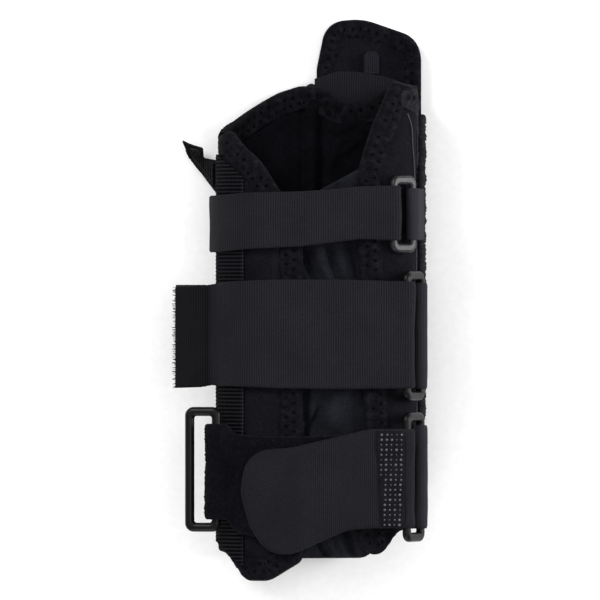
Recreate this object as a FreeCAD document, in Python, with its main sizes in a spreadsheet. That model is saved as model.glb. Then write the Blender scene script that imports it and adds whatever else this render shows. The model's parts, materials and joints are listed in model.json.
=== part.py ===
import FreeCAD
import Part
import math
import os
from FreeCAD import Placement, Rotation, Vector

# Wrist splint, lying on its back: a padded fabric sleeve, open along its front, with two front
# flaps over a soft tongue, three straps that each turn round a plastic ring on the right side, a
# fourth ring on the left for the forearm strap, a padded hand tab with its own strap, and three
# removable metal stays.
# Frame: +X across to the sleeve's right side, +Y along it to the fingers, +Z up out of the front.
# The origin is on the flat outer face of the back's stay pocket, which the splint lies on.

doc = FreeCAD.newDocument("wrist_splint")

# ---------------------------------------------------------------- driving dimensions (mm)
SIZES = [
    # sleeve cross-section
    ("wall_left", 46.5),  # outer face of the left side, from the middle
    ("wall_right", 44.5),
    ("back_level", 4.5),  # underside of the back panel
    ("front_level", 60.0),  # outer face of the front flaps
    ("foam", 3.5),  # laminated foam thickness
    ("lining", 0.9),
    ("low_corner", 20.0),
    ("top_corner", 22.0),
    ("hinge_level", 37.7),  # where the flaps fold away from the sides
    ("layer_gap", 0.3),
    ("edge_tape", 3.0),  # width of the binding on a panel's edge
    ("tongue_thickness", 1.2),
    # straps and rings
    ("narrow_strap", 25.0),
    ("wide_strap", 50.0),
    ("forearm_chape", 48.0),
    ("strap_thickness", 1.6),
    ("hook_thickness", 0.6),
    ("strap_level", 63.8),  # middle of the palm and wrist straps on the front
    ("forearm_level", 65.8),  # middle of the forearm strap, over the loop strap
    ("ring_play", 0.3),
    ("small_bar", 1.6),  # bar radius of the palm strap's ring
    ("large_bar", 1.9),
    ("cinch_bar", 2.1),
    ("small_ring_height", 35.6),
    ("large_ring_height", 59.6),
    ("strap_ring_end", 4.3),  # width of the short ends of the three strap rings
    ("cinch_ring_height", 57.5),
    ("chape_thickness", 1.2),
    ("loop_thickness", 2.4),
    ("loop_width", 44.0),
    ("webbing_thickness", 1.2),
    # places along the sleeve
    ("palm_y", 39.5),
    ("wrist_y", -16.5),
    ("forearm_y", -81.5),
    ("cinch_y", -78.0),
    # stays
    ("back_stay_width", 20.0),
    ("back_stay_length", 150.0),
    ("back_stay_thickness", 1.6),
    ("side_stay_width", 8.0),
    ("side_stay_length", 170.0),
    ("side_stay_thickness", 1.2),
    ("stay_play", 0.2),
    # hand tab and its strap
    ("tab_thickness", 2.4),
    ("tab_level", 1.6),  # middle of the tab's padding
    ("tab_curl", 30.0),  # radius of the tab's right-hand curl
    ("thumb_strap_thickness", 1.1),
]

sheet = doc.addObject("Spreadsheet::Sheet", "sizes")
for row, (alias, value) in enumerate(SIZES, start=1):
    sheet.set(f"A{row}", alias)
    sheet.set(f"B{row}", str(value))
    sheet.setAlias(f"B{row}", alias)
doc.recompute()


def size(alias):
    """A driving dimension, read from the sheet."""
    return float(sheet.get(alias))


LEFT, RIGHT = size("wall_left"), size("wall_right")
BACK, FRONT = size("back_level"), size("front_level")
LOW_R, TOP_R = size("low_corner"), size("top_corner")
HINGE_Z = size("hinge_level")
FOAM, GAP = size("foam"), size("layer_gap")
STRAP = size("strap_thickness")

LEFT_SHOULDER = Vector(-LEFT + TOP_R, FRONT - TOP_R)  # centres of the front corners
RIGHT_SHOULDER = Vector(RIGHT - TOP_R, FRONT - TOP_R)

UP, LEFTWARD, DOWN, RIGHTWARD = 90.0, 180.0, 270.0, 0.0
FAR = 70.0  # well outside the sleeve on either side
TALL = 90.0  # well above it


# ---------------------------------------------------------------- profiles
class Trace:
    """The middle line of a bent strip: straight runs and tangent arcs, in a plane."""

    def __init__(self, x, y, heading):
        self.at = Vector(x, y)
        self.heading = heading
        self.runs = []

    def line(self, length):
        step = math.radians(self.heading)
        end = self.at + Vector(math.cos(step), math.sin(step)) * length
        self.runs.append(("line", self.at, end, self.heading, self.heading, None))
        self.at = end
        return self

    def line_to_x(self, x):
        return self.line((x - self.at.x) / math.cos(math.radians(self.heading)))

    def arc(self, radius, turn):
        """An arc of that radius: a positive turn bends left, a negative one right."""
        side = math.copysign(1.0, turn)
        start = math.radians(self.heading)
        centre = self.at + Vector(-math.sin(start), math.cos(start)) * (radius * side)
        new_heading = self.heading + turn
        stop = math.radians(new_heading)
        end = centre - Vector(-math.sin(stop), math.cos(stop)) * (radius * side)
        self.runs.append(("arc", self.at, end, self.heading, new_heading, centre))
        self.at, self.heading = end, new_heading
        return self

    def round_bar(self, centre, radius, until):
        """On to a bar and left-handed round it, until that heading."""
        way = centre - self.at
        aim = math.degrees(math.atan2(way.y, way.x))
        dip = math.degrees(math.asin(radius / way.Length))
        self.heading = aim - dip
        self.line(math.sqrt(way.Length**2 - radius**2))
        return self.arc(radius, (until - self.heading) % 360.0)


def shifted(point, heading, by):
    """A point moved to the left of a heading."""
    a = math.radians(heading)
    return point + Vector(-math.sin(a), math.cos(a)) * by


def strip(trace, thickness):
    """Closed outline of a strip of that thickness along a trace."""
    sides = []
    for by in (thickness / 2, -thickness / 2):
        side = []
        for kind, start, end, first, last, centre in trace.runs:
            a, b = shifted(start, first, by), shifted(end, last, by)
            if kind == "line":
                side.append(Part.LineSegment(a, b))
            else:
                middle = shifted((start + end) / 2, (first + last) / 2, 0.0)
                half = math.radians((first + last) / 2)
                bend = math.copysign((start - centre).Length, last - first)
                middle = centre - Vector(-math.sin(half), math.cos(half)) * bend
                side.append(Part.Arc(a, shifted(middle, (first + last) / 2, by), b))
        sides.append(side)
    first_run, last_run = trace.runs[0], trace.runs[-1]
    caps = [
        [shifted(first_run[1], first_run[3], by) for by in (thickness / 2, -thickness / 2)],
        [shifted(last_run[2], last_run[4], by) for by in (thickness / 2, -thickness / 2)],
    ]
    return sides[0] + sides[1] + [Part.LineSegment(*cap) for cap in caps]


def outline(corners):
    """Closed outline through (x, y, radius) corners, each rounded with its radius."""
    points = [Vector(x, y) for x, y, _ in corners]
    count = len(points)
    ends = []
    for i, (_, _, radius) in enumerate(corners):
        here, before, after = points[i], points[i - 1], points[(i + 1) % count]
        into, out = (before - here).normalize(), (after - here).normalize()
        half = into.getAngle(out) / 2
        back = radius / math.tan(half)
        a, b = here + into * back, here + out * back
        middle = (into + out).normalize() if radius else Vector()
        top = here + middle * (radius / math.sin(half) - radius)
        ends.append((a, b, top, radius))
    shapes = []
    for i, (a, b, top, radius) in enumerate(ends):
        if radius:
            shapes.append(Part.Arc(a, top, b))
        shapes.append(Part.LineSegment(b, ends[(i + 1) % count][0]))
    return shapes


def bar_outline(width, height, corner):
    """A rectangle about the origin with rounded corners."""
    x, y = width / 2, height / 2
    return outline([(-x, -y, corner), (x, -y, corner), (x, y, corner), (-x, y, corner)])


# ---------------------------------------------------------------- document objects
def sketch(name, geometry, placement):
    made = doc.addObject("Sketcher::SketchObject", name)
    made.addGeometry(geometry, False)
    made.Placement = placement
    return made


def across(y):
    """Placement of a sketch that holds a cross-section of the sleeve, at that Y."""
    return Placement(Vector(0, y, 0), Rotation(Vector(1, 0, 0), 90))


def extrusion(name, base, direction, length):
    """A solid from a sketch. length is a number or an expression on the sheet."""
    made = doc.addObject("Part::Extrusion", name)
    made.Base = base
    made.DirMode = "Custom"
    made.Dir = direction
    made.Solid = True
    if isinstance(length, str):
        made.setExpression("LengthFwd", length)
    else:
        made.LengthFwd = length
    return made


def drawn_out(name, geometry, y_low, length):
    """A cross-section drawn out along the sleeve from y_low."""
    profile = sketch(name + "_profile", geometry, across(y_low))
    return extrusion(name + "_length", profile, Vector(0, 1, 0), length)


def cutter(name, geometry):
    """A tall prism over an outline seen from the front."""
    plan = sketch(name + "_plan", geometry, Placement(Vector(0, 0, -10), Rotation()))
    return extrusion(name + "_prism", plan, Vector(0, 0, 1), TALL)


def combined(kind, label, first, second):
    made = doc.addObject("Part::" + kind, label)
    made.Base, made.Tool = first, second
    return made


def block(name, x, y, z):
    """A box from (low, high) pairs."""
    made = doc.addObject("Part::Box", name)
    made.Length, made.Width, made.Height = x[1] - x[0], y[1] - y[0], z[1] - z[0]
    made.Placement = Placement(Vector(x[0], y[0], z[0]), Rotation())
    return made


NODES = {}


def node(label, made):
    made.Label = label
    NODES[label] = made
    return made


def panel(label, geometry, reach, plan):
    """A bent panel, cut to the outline that it shows from the front."""
    whole = drawn_out(label + "_bent", geometry, reach[0], reach[1] - reach[0])
    return node(label, combined("Common", label, whole, plan))


def prism(name, corners, inset=0.0):
    """A tall prism over an outline moved inwards."""
    wire = Part.Wire(Part.sortEdges([g.toShape() for g in outline(corners)])[0])
    plan = doc.addObject("Part::Feature", name + "_plan")
    plan.Shape = Part.Face(wire.makeOffset2D(-inset, 0, False, False) if inset else wire)
    plan.Placement = Placement(Vector(0, 0, -10), Rotation())
    return extrusion(name + "_prism", plan, Vector(0, 0, 1), TALL)


def edged_prisms(name, corners):
    """The prism inside a panel's binding, and the rim that is the binding."""
    inner = prism(name + "_inner", corners, size("edge_tape"))
    rim = combined("Cut", name + "_rim", prism(name + "_outer", corners), inner)
    return inner, rim


# ---------------------------------------------------------------- sleeve cross-section
def back_trace(depth):
    """The tray of the back, at a depth inside its outer face."""
    return (
        Trace(-LEFT + depth, BACK + LOW_R, DOWN)
        .arc(LOW_R - depth, 90)
        .line(LEFT + RIGHT - 2 * LOW_R)
        .arc(LOW_R - depth, 90)
    )


def left_flap_trace(depth, end_x):
    """Up the left shoulder and across the front, at a depth inside the outer face."""
    return (
        Trace(-LEFT + depth, HINGE_Z + GAP, UP)
        .arc(TOP_R - depth, -90)
        .line_to_x(end_x)
    )


def right_flap_trace(depth, end_x):
    return (
        Trace(RIGHT - depth, HINGE_Z + GAP, UP)
        .arc(TOP_R - depth, 90)
        .line_to_x(end_x)
    )


LINING_DEPTH = FOAM + 0.1 + size("lining") / 2
REACH = (-135.0, 135.0)

BACK_PLAN = [
    (-FAR, -118, 0),
    (20, -119, 10),
    (38, -106, 10),
    (FAR, -106, 0),
    (FAR, 100, 0),
    (33, 99, 6),
    (22, 92.5, 15),
    (9, 92, 10),
    (2, 99.5, 4),
    (-9, 99.4, 5),
    (-19, 96.5, 20),
    (-41, 83.5, 4),
    (-FAR, 76, 0),
]
LEFT_FLAP_PLAN = [
    (-FAR, -116, 0),
    (-44, -116, 8),
    (-35, -129.3, 4),
    (-23, -129.3, 10),
    (-7.8, -121.5, 3.5),
    (-7.8, 34, 30),
    (-23, 59, 20),
    (-41, 81, 4),
    (-FAR, 80, 0),
]
RIGHT_FLAP_PLAN = [
    (FAR, -106, 0),
    (37, -106, 10),
    (27, -120.5, 4),
    (21, -117, 4),
    (21, 60, 60),
    (29, 97, 6),
    (37, 101, 6),
    (FAR, 92, 0),
]

def bent_sheet(name, trace, thickness):
    return drawn_out(name + "_bent", strip(trace, thickness), REACH[0], REACH[1] - REACH[0])


def lining(label, trace, corners):
    """Inner cloth of a panel, stopping short of its binding."""
    whole = bent_sheet(label, trace, size("lining"))
    inner = prism(label, corners, 2 * size("edge_tape"))
    node(label, combined("Common", label, whole, inner))


def back():
    """The tray behind the forearm and hand, bound at its elbow and finger ends."""
    whole = bent_sheet("back", back_trace(FOAM / 2), FOAM)
    inner, rim = edged_prisms("back", BACK_PLAN)
    node("back_panel", combined("Common", "back_panel", whole, inner))
    for end, reach in (("elbow", (REACH[0], -50.0)), ("finger", (50.0, REACH[1]))):
        part = block(f"back_{end}_end", (-FAR, FAR), reach, (-10, TALL))
        label = f"back_{end}_edge_tape"
        tape = combined("Common", label + "_length", rim, part)
        node(label, combined("Common", label, whole, tape))
    lining("back_lining", back_trace(LINING_DEPTH), BACK_PLAN)


def front_flap(side, trace_at, end_x, corners):
    """A flap that folds over the front from its side, with its binding and lining."""
    label = side + "_front_flap"
    whole = bent_sheet(label, trace_at(FOAM / 2, end_x), FOAM)
    inner, rim = edged_prisms(label, corners)
    node(label, combined("Common", label, whole, inner))
    node(side + "_flap_edge_tape", combined("Common", side + "_flap_edge_tape", whole, rim))
    lining(side + "_flap_lining", trace_at(LINING_DEPTH, end_x), corners)


back()
front_flap("left", left_flap_trace, -2.0, LEFT_FLAP_PLAN)
front_flap("right", right_flap_trace, 16.0, RIGHT_FLAP_PLAN)


# ---------------------------------------------------------------- tongue
def tongue():
    """Soft inner panel behind the flaps, sewn inside the right side wall."""
    thick = size("tongue_thickness")
    level = FRONT - FOAM - 0.1 - size("lining") - GAP - thick / 2
    foot = Vector(RIGHT - FOAM - GAP - thick / 2, HINGE_Z - 10.0)
    lean = 6.0
    trace = Trace(foot.x, foot.y, UP + lean).line(10.0)
    corner = (level - trace.at.y) / (1 - math.sin(math.radians(lean)))
    trace.arc(corner, 90 - lean).line_to_x(-17.0)
    corners = [
        (-FAR, -119, 0),
        (36, -119, 6),
        (FAR, -105, 0),
        (FAR, 60, 0),
        (19, 58, 6),
        (-10, 46, 10),
        (-FAR, 44, 0),
    ]
    panel("tongue", strip(trace, thick), REACH, cutter("tongue", outline(corners)))


tongue()


# ---------------------------------------------------------------- sides, stays and pockets
def side_panel(side, x_low, x_high, y_low, y_high):
    """A side wall that is the pocket of a flat stay, open at its finger end."""
    z_low, z_high = BACK + LOW_R + GAP, HINGE_Z - GAP
    wall = block(side + "_side_wall", (x_low, x_high), (y_low, y_high), (z_low, z_high))
    thick, wide = size("side_stay_thickness"), size("side_stay_width")
    play, length = size("stay_play"), size("side_stay_length")
    x_mid, z_mid = (x_low + x_high) / 2, (z_low + z_high) / 2
    stay_high = y_high - 3.0
    slot = block(
        side + "_slot",
        (x_mid - thick / 2 - play, x_mid + thick / 2 + play),
        (stay_high - length - play, y_high + 1.0),
        (z_mid - wide / 2 - play, z_mid + wide / 2 + play),
    )
    node(side + "_side_panel", combined("Cut", side + "_side_panel", wall, slot))
    stay(
        side + "_side_stay",
        ("side_stay_thickness", "side_stay_width", "side_stay_length"),
        Placement(Vector(x_mid - thick / 2, stay_high - length / 2, z_mid), Rotation(Vector(0, 1, 0), 90)),
    )


def rounded_sketch(body, name, geometry):
    """A sketch on the body's own XY plane."""
    made = body.newObject("Sketcher::SketchObject", name)
    plane = next(o for o in body.Origin.OriginFeatures if o.Role == "XY_Plane")
    made.AttachmentSupport = (plane, [""])
    made.MapMode = "FlatFace"
    made.addGeometry(geometry, False)
    return made


def stay(label, cells, placement):
    """A flat metal bar with round ends: thickness, width and length come from the sheet."""
    thick, wide, length = cells
    body = doc.addObject("PartDesign::Body", label)
    plan = rounded_sketch(body, label + "_plan", bar_outline(size(wide), size(length), size(wide) / 2 - 0.2))
    pad = body.newObject("PartDesign::Pad", label + "_pad")
    pad.Profile = plan
    pad.setExpression("Length", f"sizes.{thick}")
    body.Tip = pad
    body.Placement = placement
    return node(label, body)


def back_pocket():
    """The flat pocket under the back, open at its elbow end, and the stay in it."""
    thick, wide = size("back_stay_thickness"), size("back_stay_width")
    play, length = size("stay_play"), size("back_stay_length")
    y_low = -114.0
    z_low = 1.2
    case = block("pocket_case", (-22, 22), (y_low, 42), (0, BACK - GAP))
    slot = block(
        "pocket_slot",
        (-wide / 2 - play, wide / 2 + play),
        (y_low - 1, y_low + 2 + length + play),
        (z_low - play, z_low + thick + play),
    )
    node("back_stay_pocket", combined("Cut", "back_stay_pocket", case, slot))
    stay(
        "back_stay",
        ("back_stay_thickness", "back_stay_width", "back_stay_length"),
        Placement(Vector(0, y_low + 2 + length / 2, z_low), Rotation()),
    )


side_panel("left", -LEFT, -LEFT + FOAM, -114.0, 76.0)
side_panel("right", RIGHT - FOAM, RIGHT, -104.0, 96.0)
back_pocket()


# ---------------------------------------------------------------- webbing and pile on the sleeve
def shoulder_webbing():
    """Ribbed webbing over the left shoulder, where the flap folds."""
    depth = -(0.2 + size("webbing_thickness") / 2)
    trace = Trace(-LEFT + depth, HINGE_Z + GAP, UP).arc(TOP_R - depth, -62)
    corners = [(-FAR, -112, 0), (-20, -112, 0), (-20, 62, 0), (-FAR, 76, 0)]
    plan = cutter("shoulder_webbing", outline(corners))
    panel("shoulder_webbing", strip(trace, size("webbing_thickness")), REACH, plan)


def side_pile():
    """Strip of loop pile down the right side, for the straps' hooks."""
    depth = -1.45
    trace = Trace(RIGHT - depth, HINGE_Z - 5.0, DOWN).line(HINGE_Z - 5.0 - BACK - LOW_R)
    trace.arc(LOW_R - depth, -38)
    node("side_pile_strip", drawn_out("side_pile_strip", strip(trace, 2.5), -56.0, 142.0))


shoulder_webbing()
side_pile()


# ---------------------------------------------------------------- rings
def ring(label, bar_cell, height_cell, first_bar, second_bar, y, end=None):
    """A rectangular plastic ring whose two long bars run along the sleeve at these places."""
    bar = size(bar_cell)
    way = second_bar - first_bar
    width, height = way.Length + 2 * bar, size(height_cell)
    body = doc.addObject("PartDesign::Body", label)
    inner = bar_outline(width - 4 * bar, height - 2 * (end or 2 * bar), 1.2)
    plan = rounded_sketch(body, label + "_plan", bar_outline(width, height, 4.0) + inner)
    pad = body.newObject("PartDesign::Pad", label + "_pad")
    pad.Profile = plan
    pad.setExpression("Length", f"2 * sizes.{bar_cell}")
    pad.Midplane = True
    doc.recompute()
    long_edges = [
        f"Edge{i}"
        for i, e in enumerate(pad.Shape.Edges, start=1)
        if abs(e.BoundBox.ZLength) < 1e-6
    ]
    fillet = body.newObject("PartDesign::Fillet", label + "_rounding")
    fillet.Base = (pad, long_edges)
    fillet.setExpression("Radius", f"0.9 * sizes.{bar_cell}")
    body.Tip = fillet
    middle = (first_bar + second_bar) / 2
    tilt = math.degrees(math.atan2(-way.y, way.x))
    body.Placement = Placement(Vector(middle.x, y, middle.y), Rotation(Vector(0, 1, 0), tilt))
    return node(label, body)


SMALL_BAR, LARGE_BAR, CINCH_BAR = size("small_bar"), size("large_bar"), size("cinch_bar")


def bar_under(level, bar):
    """Height of a bar whose strap passes over it with its middle at that level."""
    return level - STRAP / 2 - size("ring_play") - bar


PALM_BARS = (Vector(34.0, bar_under(size("strap_level"), SMALL_BAR)), Vector(42.6, 54.1))
WRIST_BARS = (Vector(39.9, bar_under(size("strap_level"), LARGE_BAR)), Vector(46.3, 48.1))
FOREARM_BARS = (Vector(39.9, bar_under(size("forearm_level"), LARGE_BAR)), Vector(46.3, 50.7))
CINCH_BARS = (Vector(-47.7, 55.4), Vector(-60.0, 52.4))

RING_END = size("strap_ring_end")
ring("palm_ring", "small_bar", "small_ring_height", *PALM_BARS, size("palm_y"), RING_END)
ring("wrist_ring", "large_bar", "large_ring_height", *WRIST_BARS, size("wrist_y"), RING_END)
ring("forearm_ring", "large_bar", "large_ring_height", *FOREARM_BARS, size("forearm_y"), RING_END)
ring("cinch_ring", "cinch_bar", "cinch_ring_height", *CINCH_BARS, size("cinch_y"))


def chape(label, bar_at, bar, y, width, foot_x):
    """The band that holds a ring's outer bar to the right flap, folded round it."""
    thick = size("chape_thickness")
    around = bar + size("ring_play") + thick / 2
    foot = Vector(foot_x, HINGE_Z + 2.6)
    way = bar_at - foot
    aim = math.degrees(math.atan2(way.y, way.x))
    apart = thick / 2 + 0.05
    lean = math.degrees(math.asin((around - apart) / way.Length))
    length = way.Length * math.cos(math.radians(lean))
    heading = math.radians(aim - lean)
    start = (
        bar_at
        + Vector(math.sin(heading), -math.cos(heading)) * around
        - Vector(math.cos(heading), math.sin(heading)) * length
    )
    trace = Trace(start.x, start.y, aim - lean).line(length).arc(around, 180 + 2 * lean).line(length)
    node(label, drawn_out(label, strip(trace, thick), y - width / 2, width))


chape("palm_ring_chape", PALM_BARS[1], SMALL_BAR, size("palm_y"), size("narrow_strap"), 47.2)
chape("wrist_ring_chape", WRIST_BARS[1], LARGE_BAR, size("wrist_y"), size("wide_strap"), 45.9)
chape("forearm_ring_chape", FOREARM_BARS[1], LARGE_BAR, size("forearm_y"), size("forearm_chape"), 45.9)


# ---------------------------------------------------------------- straps
def strap_trace(tail_start, bar_at, bar):
    """The sewn tail, round the ring's bar, and away to the left on top."""
    around = bar + size("ring_play") + STRAP / 2
    return Trace(tail_start.x, tail_start.y, 0).round_bar(bar_at, around, LEFTWARD)


SHOULDER_X = LEFT_SHOULDER.x
PALM_SHOULDER_R = size("strap_level") - LEFT_SHOULDER.y


def palm_strap():
    """Across the palm opening and over the left shoulder, down to its foot."""
    tail = Vector(25.6, size("strap_level") - 1.8)
    trace = strap_trace(tail, PALM_BARS[0], SMALL_BAR).line_to_x(SHOULDER_X)
    trace.arc(PALM_SHOULDER_R, 90).line(2.0)
    y, half = size("palm_y"), size("narrow_strap") / 2
    slant = 5.6  # the strap runs a little towards the elbow at its left
    corners = [
        (-FAR, y - slant - half, 0),
        (30, y + 0.4 - half, 0),
        (FAR, y + 0.4 - half, 0),
        (FAR, y + 0.4 + half, 0),
        (30, y + 0.4 + half, 0),
        (-FAR, y - slant + half, 0),
    ]
    panel("palm_strap", strip(trace, STRAP), (10, 70), cutter("palm_strap", outline(corners)))
    hook(
        "palm_strap_hook",
        Trace(SHOULDER_X, size("strap_level") - hook_drop(), LEFTWARD).arc(PALM_SHOULDER_R - hook_drop(), 90),
        y - 3.6 - half + 1.5,
        size("narrow_strap") - 3.0,
    )


def hook_drop():
    """From a strap's middle to the middle of the hook patch under it."""
    return STRAP / 2 + 0.05 + size("hook_thickness") / 2


def hook(label, trace, y_low, length):
    node(label, drawn_out(label, strip(trace, size("hook_thickness")), y_low, length))


WRIST_LEAVES = 57.0  # how far round the shoulder the wrist strap goes before it flares
WRIST_FLARE = 47.0
FLARE_R = 5.0
WRIST_END_X = -66.7


def wrist_strap():
    """Over the front and off the left shoulder, with its end standing out free."""
    tail = Vector(30.5, size("strap_level") - 1.9)
    trace = strap_trace(tail, WRIST_BARS[0], LARGE_BAR).line_to_x(SHOULDER_X)
    trace.arc(PALM_SHOULDER_R, WRIST_LEAVES).arc(FLARE_R, -WRIST_FLARE).line_to_x(WRIST_END_X)
    y, width = size("wrist_y"), size("wide_strap")
    node("wrist_strap", drawn_out("wrist_strap", strip(trace, STRAP), y - width / 2, "sizes.wide_strap"))
    drop = hook_drop()
    heading = LEFTWARD + WRIST_LEAVES - WRIST_FLARE
    start = shifted(Vector(WRIST_END_X, trace.at.y), heading, drop)
    under = Trace(start.x, start.y, heading - 180).line(14.0)
    hook("wrist_strap_hook", under, y - width / 2 + 1.5, width - 3.0)


def forearm_strap():
    """Across the front to a wide round end that lies on the loop strap."""
    tail = Vector(30.5, size("forearm_level") - 1.9)
    trace = strap_trace(tail, FOREARM_BARS[0], LARGE_BAR).line_to_x(-40.0)
    end_plan = [
        (FAR, -105.2, 0),
        (20, -105, 12),
        (-12, -118.5, 16),
        (-36.2, -104, 22),
        (-36.2, -74, 16),
        (-14, -68, 12),
        (20, -60, 30),
        (FAR, -58.2, 0),
    ]
    panel("forearm_strap", strip(trace, STRAP), (-130, -50), cutter("forearm_strap", outline(end_plan)))
    under = Trace(14.0, size("forearm_level") - hook_drop(), LEFTWARD).line_to_x(-33.5)
    hook_plan = [
        (14, -105.5, 2),
        (-12, -115.6, 14),
        (-33.5, -102.6, 19),
        (-33.5, -76, 14),
        (-13, -70.5, 10),
        (14, -64.5, 2),
    ]
    plan = cutter("forearm_hook", outline(hook_plan))
    panel("forearm_strap_hook", strip(under, size("hook_thickness")), (-130, -50), plan)
    top = size("forearm_level") + STRAP / 2 + 0.05
    patch = block("forearm_grip_patch", (27.0, 38.8), (-104.4, -60.0), (top, top + 0.7))
    node("forearm_grip_patch", patch)


palm_strap()
wrist_strap()
forearm_strap()


def bend_to(start, radius, bar_at, around):
    """Turn of an arc that sets out leftward so that it ends aimed at a bar's upper side."""
    centre = start - Vector(0, radius)
    way = bar_at - centre
    gap = math.degrees(math.acos((radius - around) / way.Length))
    return math.degrees(math.atan2(way.y, way.x)) - gap - 90.0 + 360.0 * (way.y < 0)


def loop_strap():
    """Wide pile strap across the left flap, folded round the cinch ring's inner bar."""
    thick = size("loop_thickness")
    level = FRONT + 0.2 + size("webbing_thickness") + 0.3 + thick / 2
    around = CINCH_BAR + 0.8 + thick / 2
    trace = Trace(14.0, level, LEFTWARD).line_to_x(-26.0)
    trace.arc(30.0, bend_to(trace.at, 30.0, CINCH_BARS[0], around))
    trace.round_bar(CINCH_BARS[0], around, 350.0)
    y_low = size("cinch_y") - 1.0 - size("loop_width") / 2
    node("loop_strap", drawn_out("loop_strap", strip(trace, thick), y_low, "sizes.loop_width"))


loop_strap()


# ---------------------------------------------------------------- hand tab and thumb strap
TAB_FLAT_X = 27.6  # where the tab starts to curl up on its right
TAB_PLAN = [
    (-1.4, 72, 3),
    (FAR, 72, 0),
    (FAR, 98, 0),
    (47.8, 104, 6),
    (47.0, 121.0, 14),
    (20, 131.0, 25),
    (3, 129.5, 9),
    (-1.4, 108, 15),
]


def tab_trace(rise, start_x, end_turn):
    """Along the tab, a height above its middle, curling up at the right."""
    radius = size("tab_curl") - rise
    return (
        Trace(start_x, size("tab_level") + rise, RIGHTWARD)
        .line_to_x(TAB_FLAT_X)
        .arc(radius, end_turn)
    )


def hand_tab():
    """Padded tab beyond the back's finger end, with its binding and the stay sewn in it."""
    geometry = strip(tab_trace(0, -10, 41), size("tab_thickness"))
    whole = drawn_out("hand_tab_bent", geometry, 60, 80)
    inner, rim = edged_prisms("hand_tab", TAB_PLAN)
    pad = combined("Common", "hand_tab_pad", whole, inner)
    slot = block("hand_tab_slot", (13.6, 26.4), (75.6, 120.4), (0.8, 2.4))
    node("hand_tab", combined("Cut", "hand_tab", pad, slot))
    node("hand_tab_edge_tape", combined("Common", "hand_tab_edge_tape", whole, rim))
    top = size("tab_level") + size("tab_thickness") / 2 + 0.1
    node("hand_tab_pull", block("hand_tab_pull", (20.8, 27.4), (108.0, 116.0), (top, top + 1.0)))
    body = doc.addObject("PartDesign::Body", "hand_tab_stay")
    plan = rounded_sketch(body, "hand_tab_stay_plan", bar_outline(12.0, 44.0, 5.5))
    made = body.newObject("PartDesign::Pad", "hand_tab_stay_pad")
    made.Profile = plan
    made.setExpression("Length", "sizes.side_stay_thickness")
    body.Tip = made
    body.Placement = Placement(Vector(20, 98, 1.0), Rotation())
    node("hand_tab_stay", body)


def thumb_strap():
    """The band across the tab and its run slanting away under the back."""
    thick = size("thumb_strap_thickness")
    rise = size("tab_thickness") / 2 + GAP + thick / 2
    band = drawn_out("thumb_strap_band", strip(tab_trace(rise, -2.0, 32), thick), 84.5, 22.5)
    run = sketch(
        "thumb_strap_run_plan",
        outline([(-1.9, 84.5, 0), (-1.9, 107, 0), (-44, 74.5, 0), (-44, 50, 0)]),
        Placement(Vector(0, 0, size("tab_level") + rise - thick / 2), Rotation()),
    )
    under = extrusion("thumb_strap_run", run, Vector(0, 0, 1), "sizes.thumb_strap_thickness")
    node("thumb_strap", combined("Fuse", "thumb_strap", band, under))


TAIL_FOOT = Vector(-45.0, 3.65)


def thumb_tail():
    """The thumb strap's free end, curling up beside the left side, with its hook patch."""
    thick = size("thumb_strap_thickness")
    trace = Trace(TAIL_FOOT.x, TAIL_FOOT.y, LEFTWARD).line(3.5).arc(14.0, -64).line(7.5)
    tail = drawn_out("thumb_strap_tail", strip(trace, thick), 50.0, 24.0)
    node("thumb_strap_tail", tail)
    rise = thick / 2 + 0.05 + size("hook_thickness") / 2
    under = Trace(TAIL_FOOT.x - 3.5, TAIL_FOOT.y + rise, LEFTWARD).arc(14.0 - rise, -64).line(7.0)
    hook("thumb_tail_hook", under, 51.0, 22.0)


hand_tab()
thumb_strap()
thumb_tail()


# ---------------------------------------------------------------- check and write
def written(folder="parts"):
    doc.recompute()
    failed = [o.Name for o in doc.Objects if {"Invalid", "Error"} & set(o.State)]
    if failed:
        raise RuntimeError(f"these objects failed: {failed}")
    os.makedirs(folder, exist_ok=True)
    for old in os.listdir(folder):
        if old.endswith(".step"):
            os.remove(os.path.join(folder, old))
    for label, made in NODES.items():
        shape = made.Shape
        if shape.isNull() or not shape.isValid() or not shape.Solids:
            raise RuntimeError(f"{label} has no valid solid")
        shape.exportStep(os.path.join(folder, label + ".step"))
        box = shape.BoundBox
        print(
            f"{label}: {len(shape.Solids)} solid, {shape.Volume / 1000:.2f} cm3, "
            f"x {box.XMin:.1f}..{box.XMax:.1f} y {box.YMin:.1f}..{box.YMax:.1f} z {box.ZMin:.1f}..{box.ZMax:.1f}"
        )


written()
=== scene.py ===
import json
import math

import bmesh
import bpy
import numpy as np
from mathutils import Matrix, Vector, geometry


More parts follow.
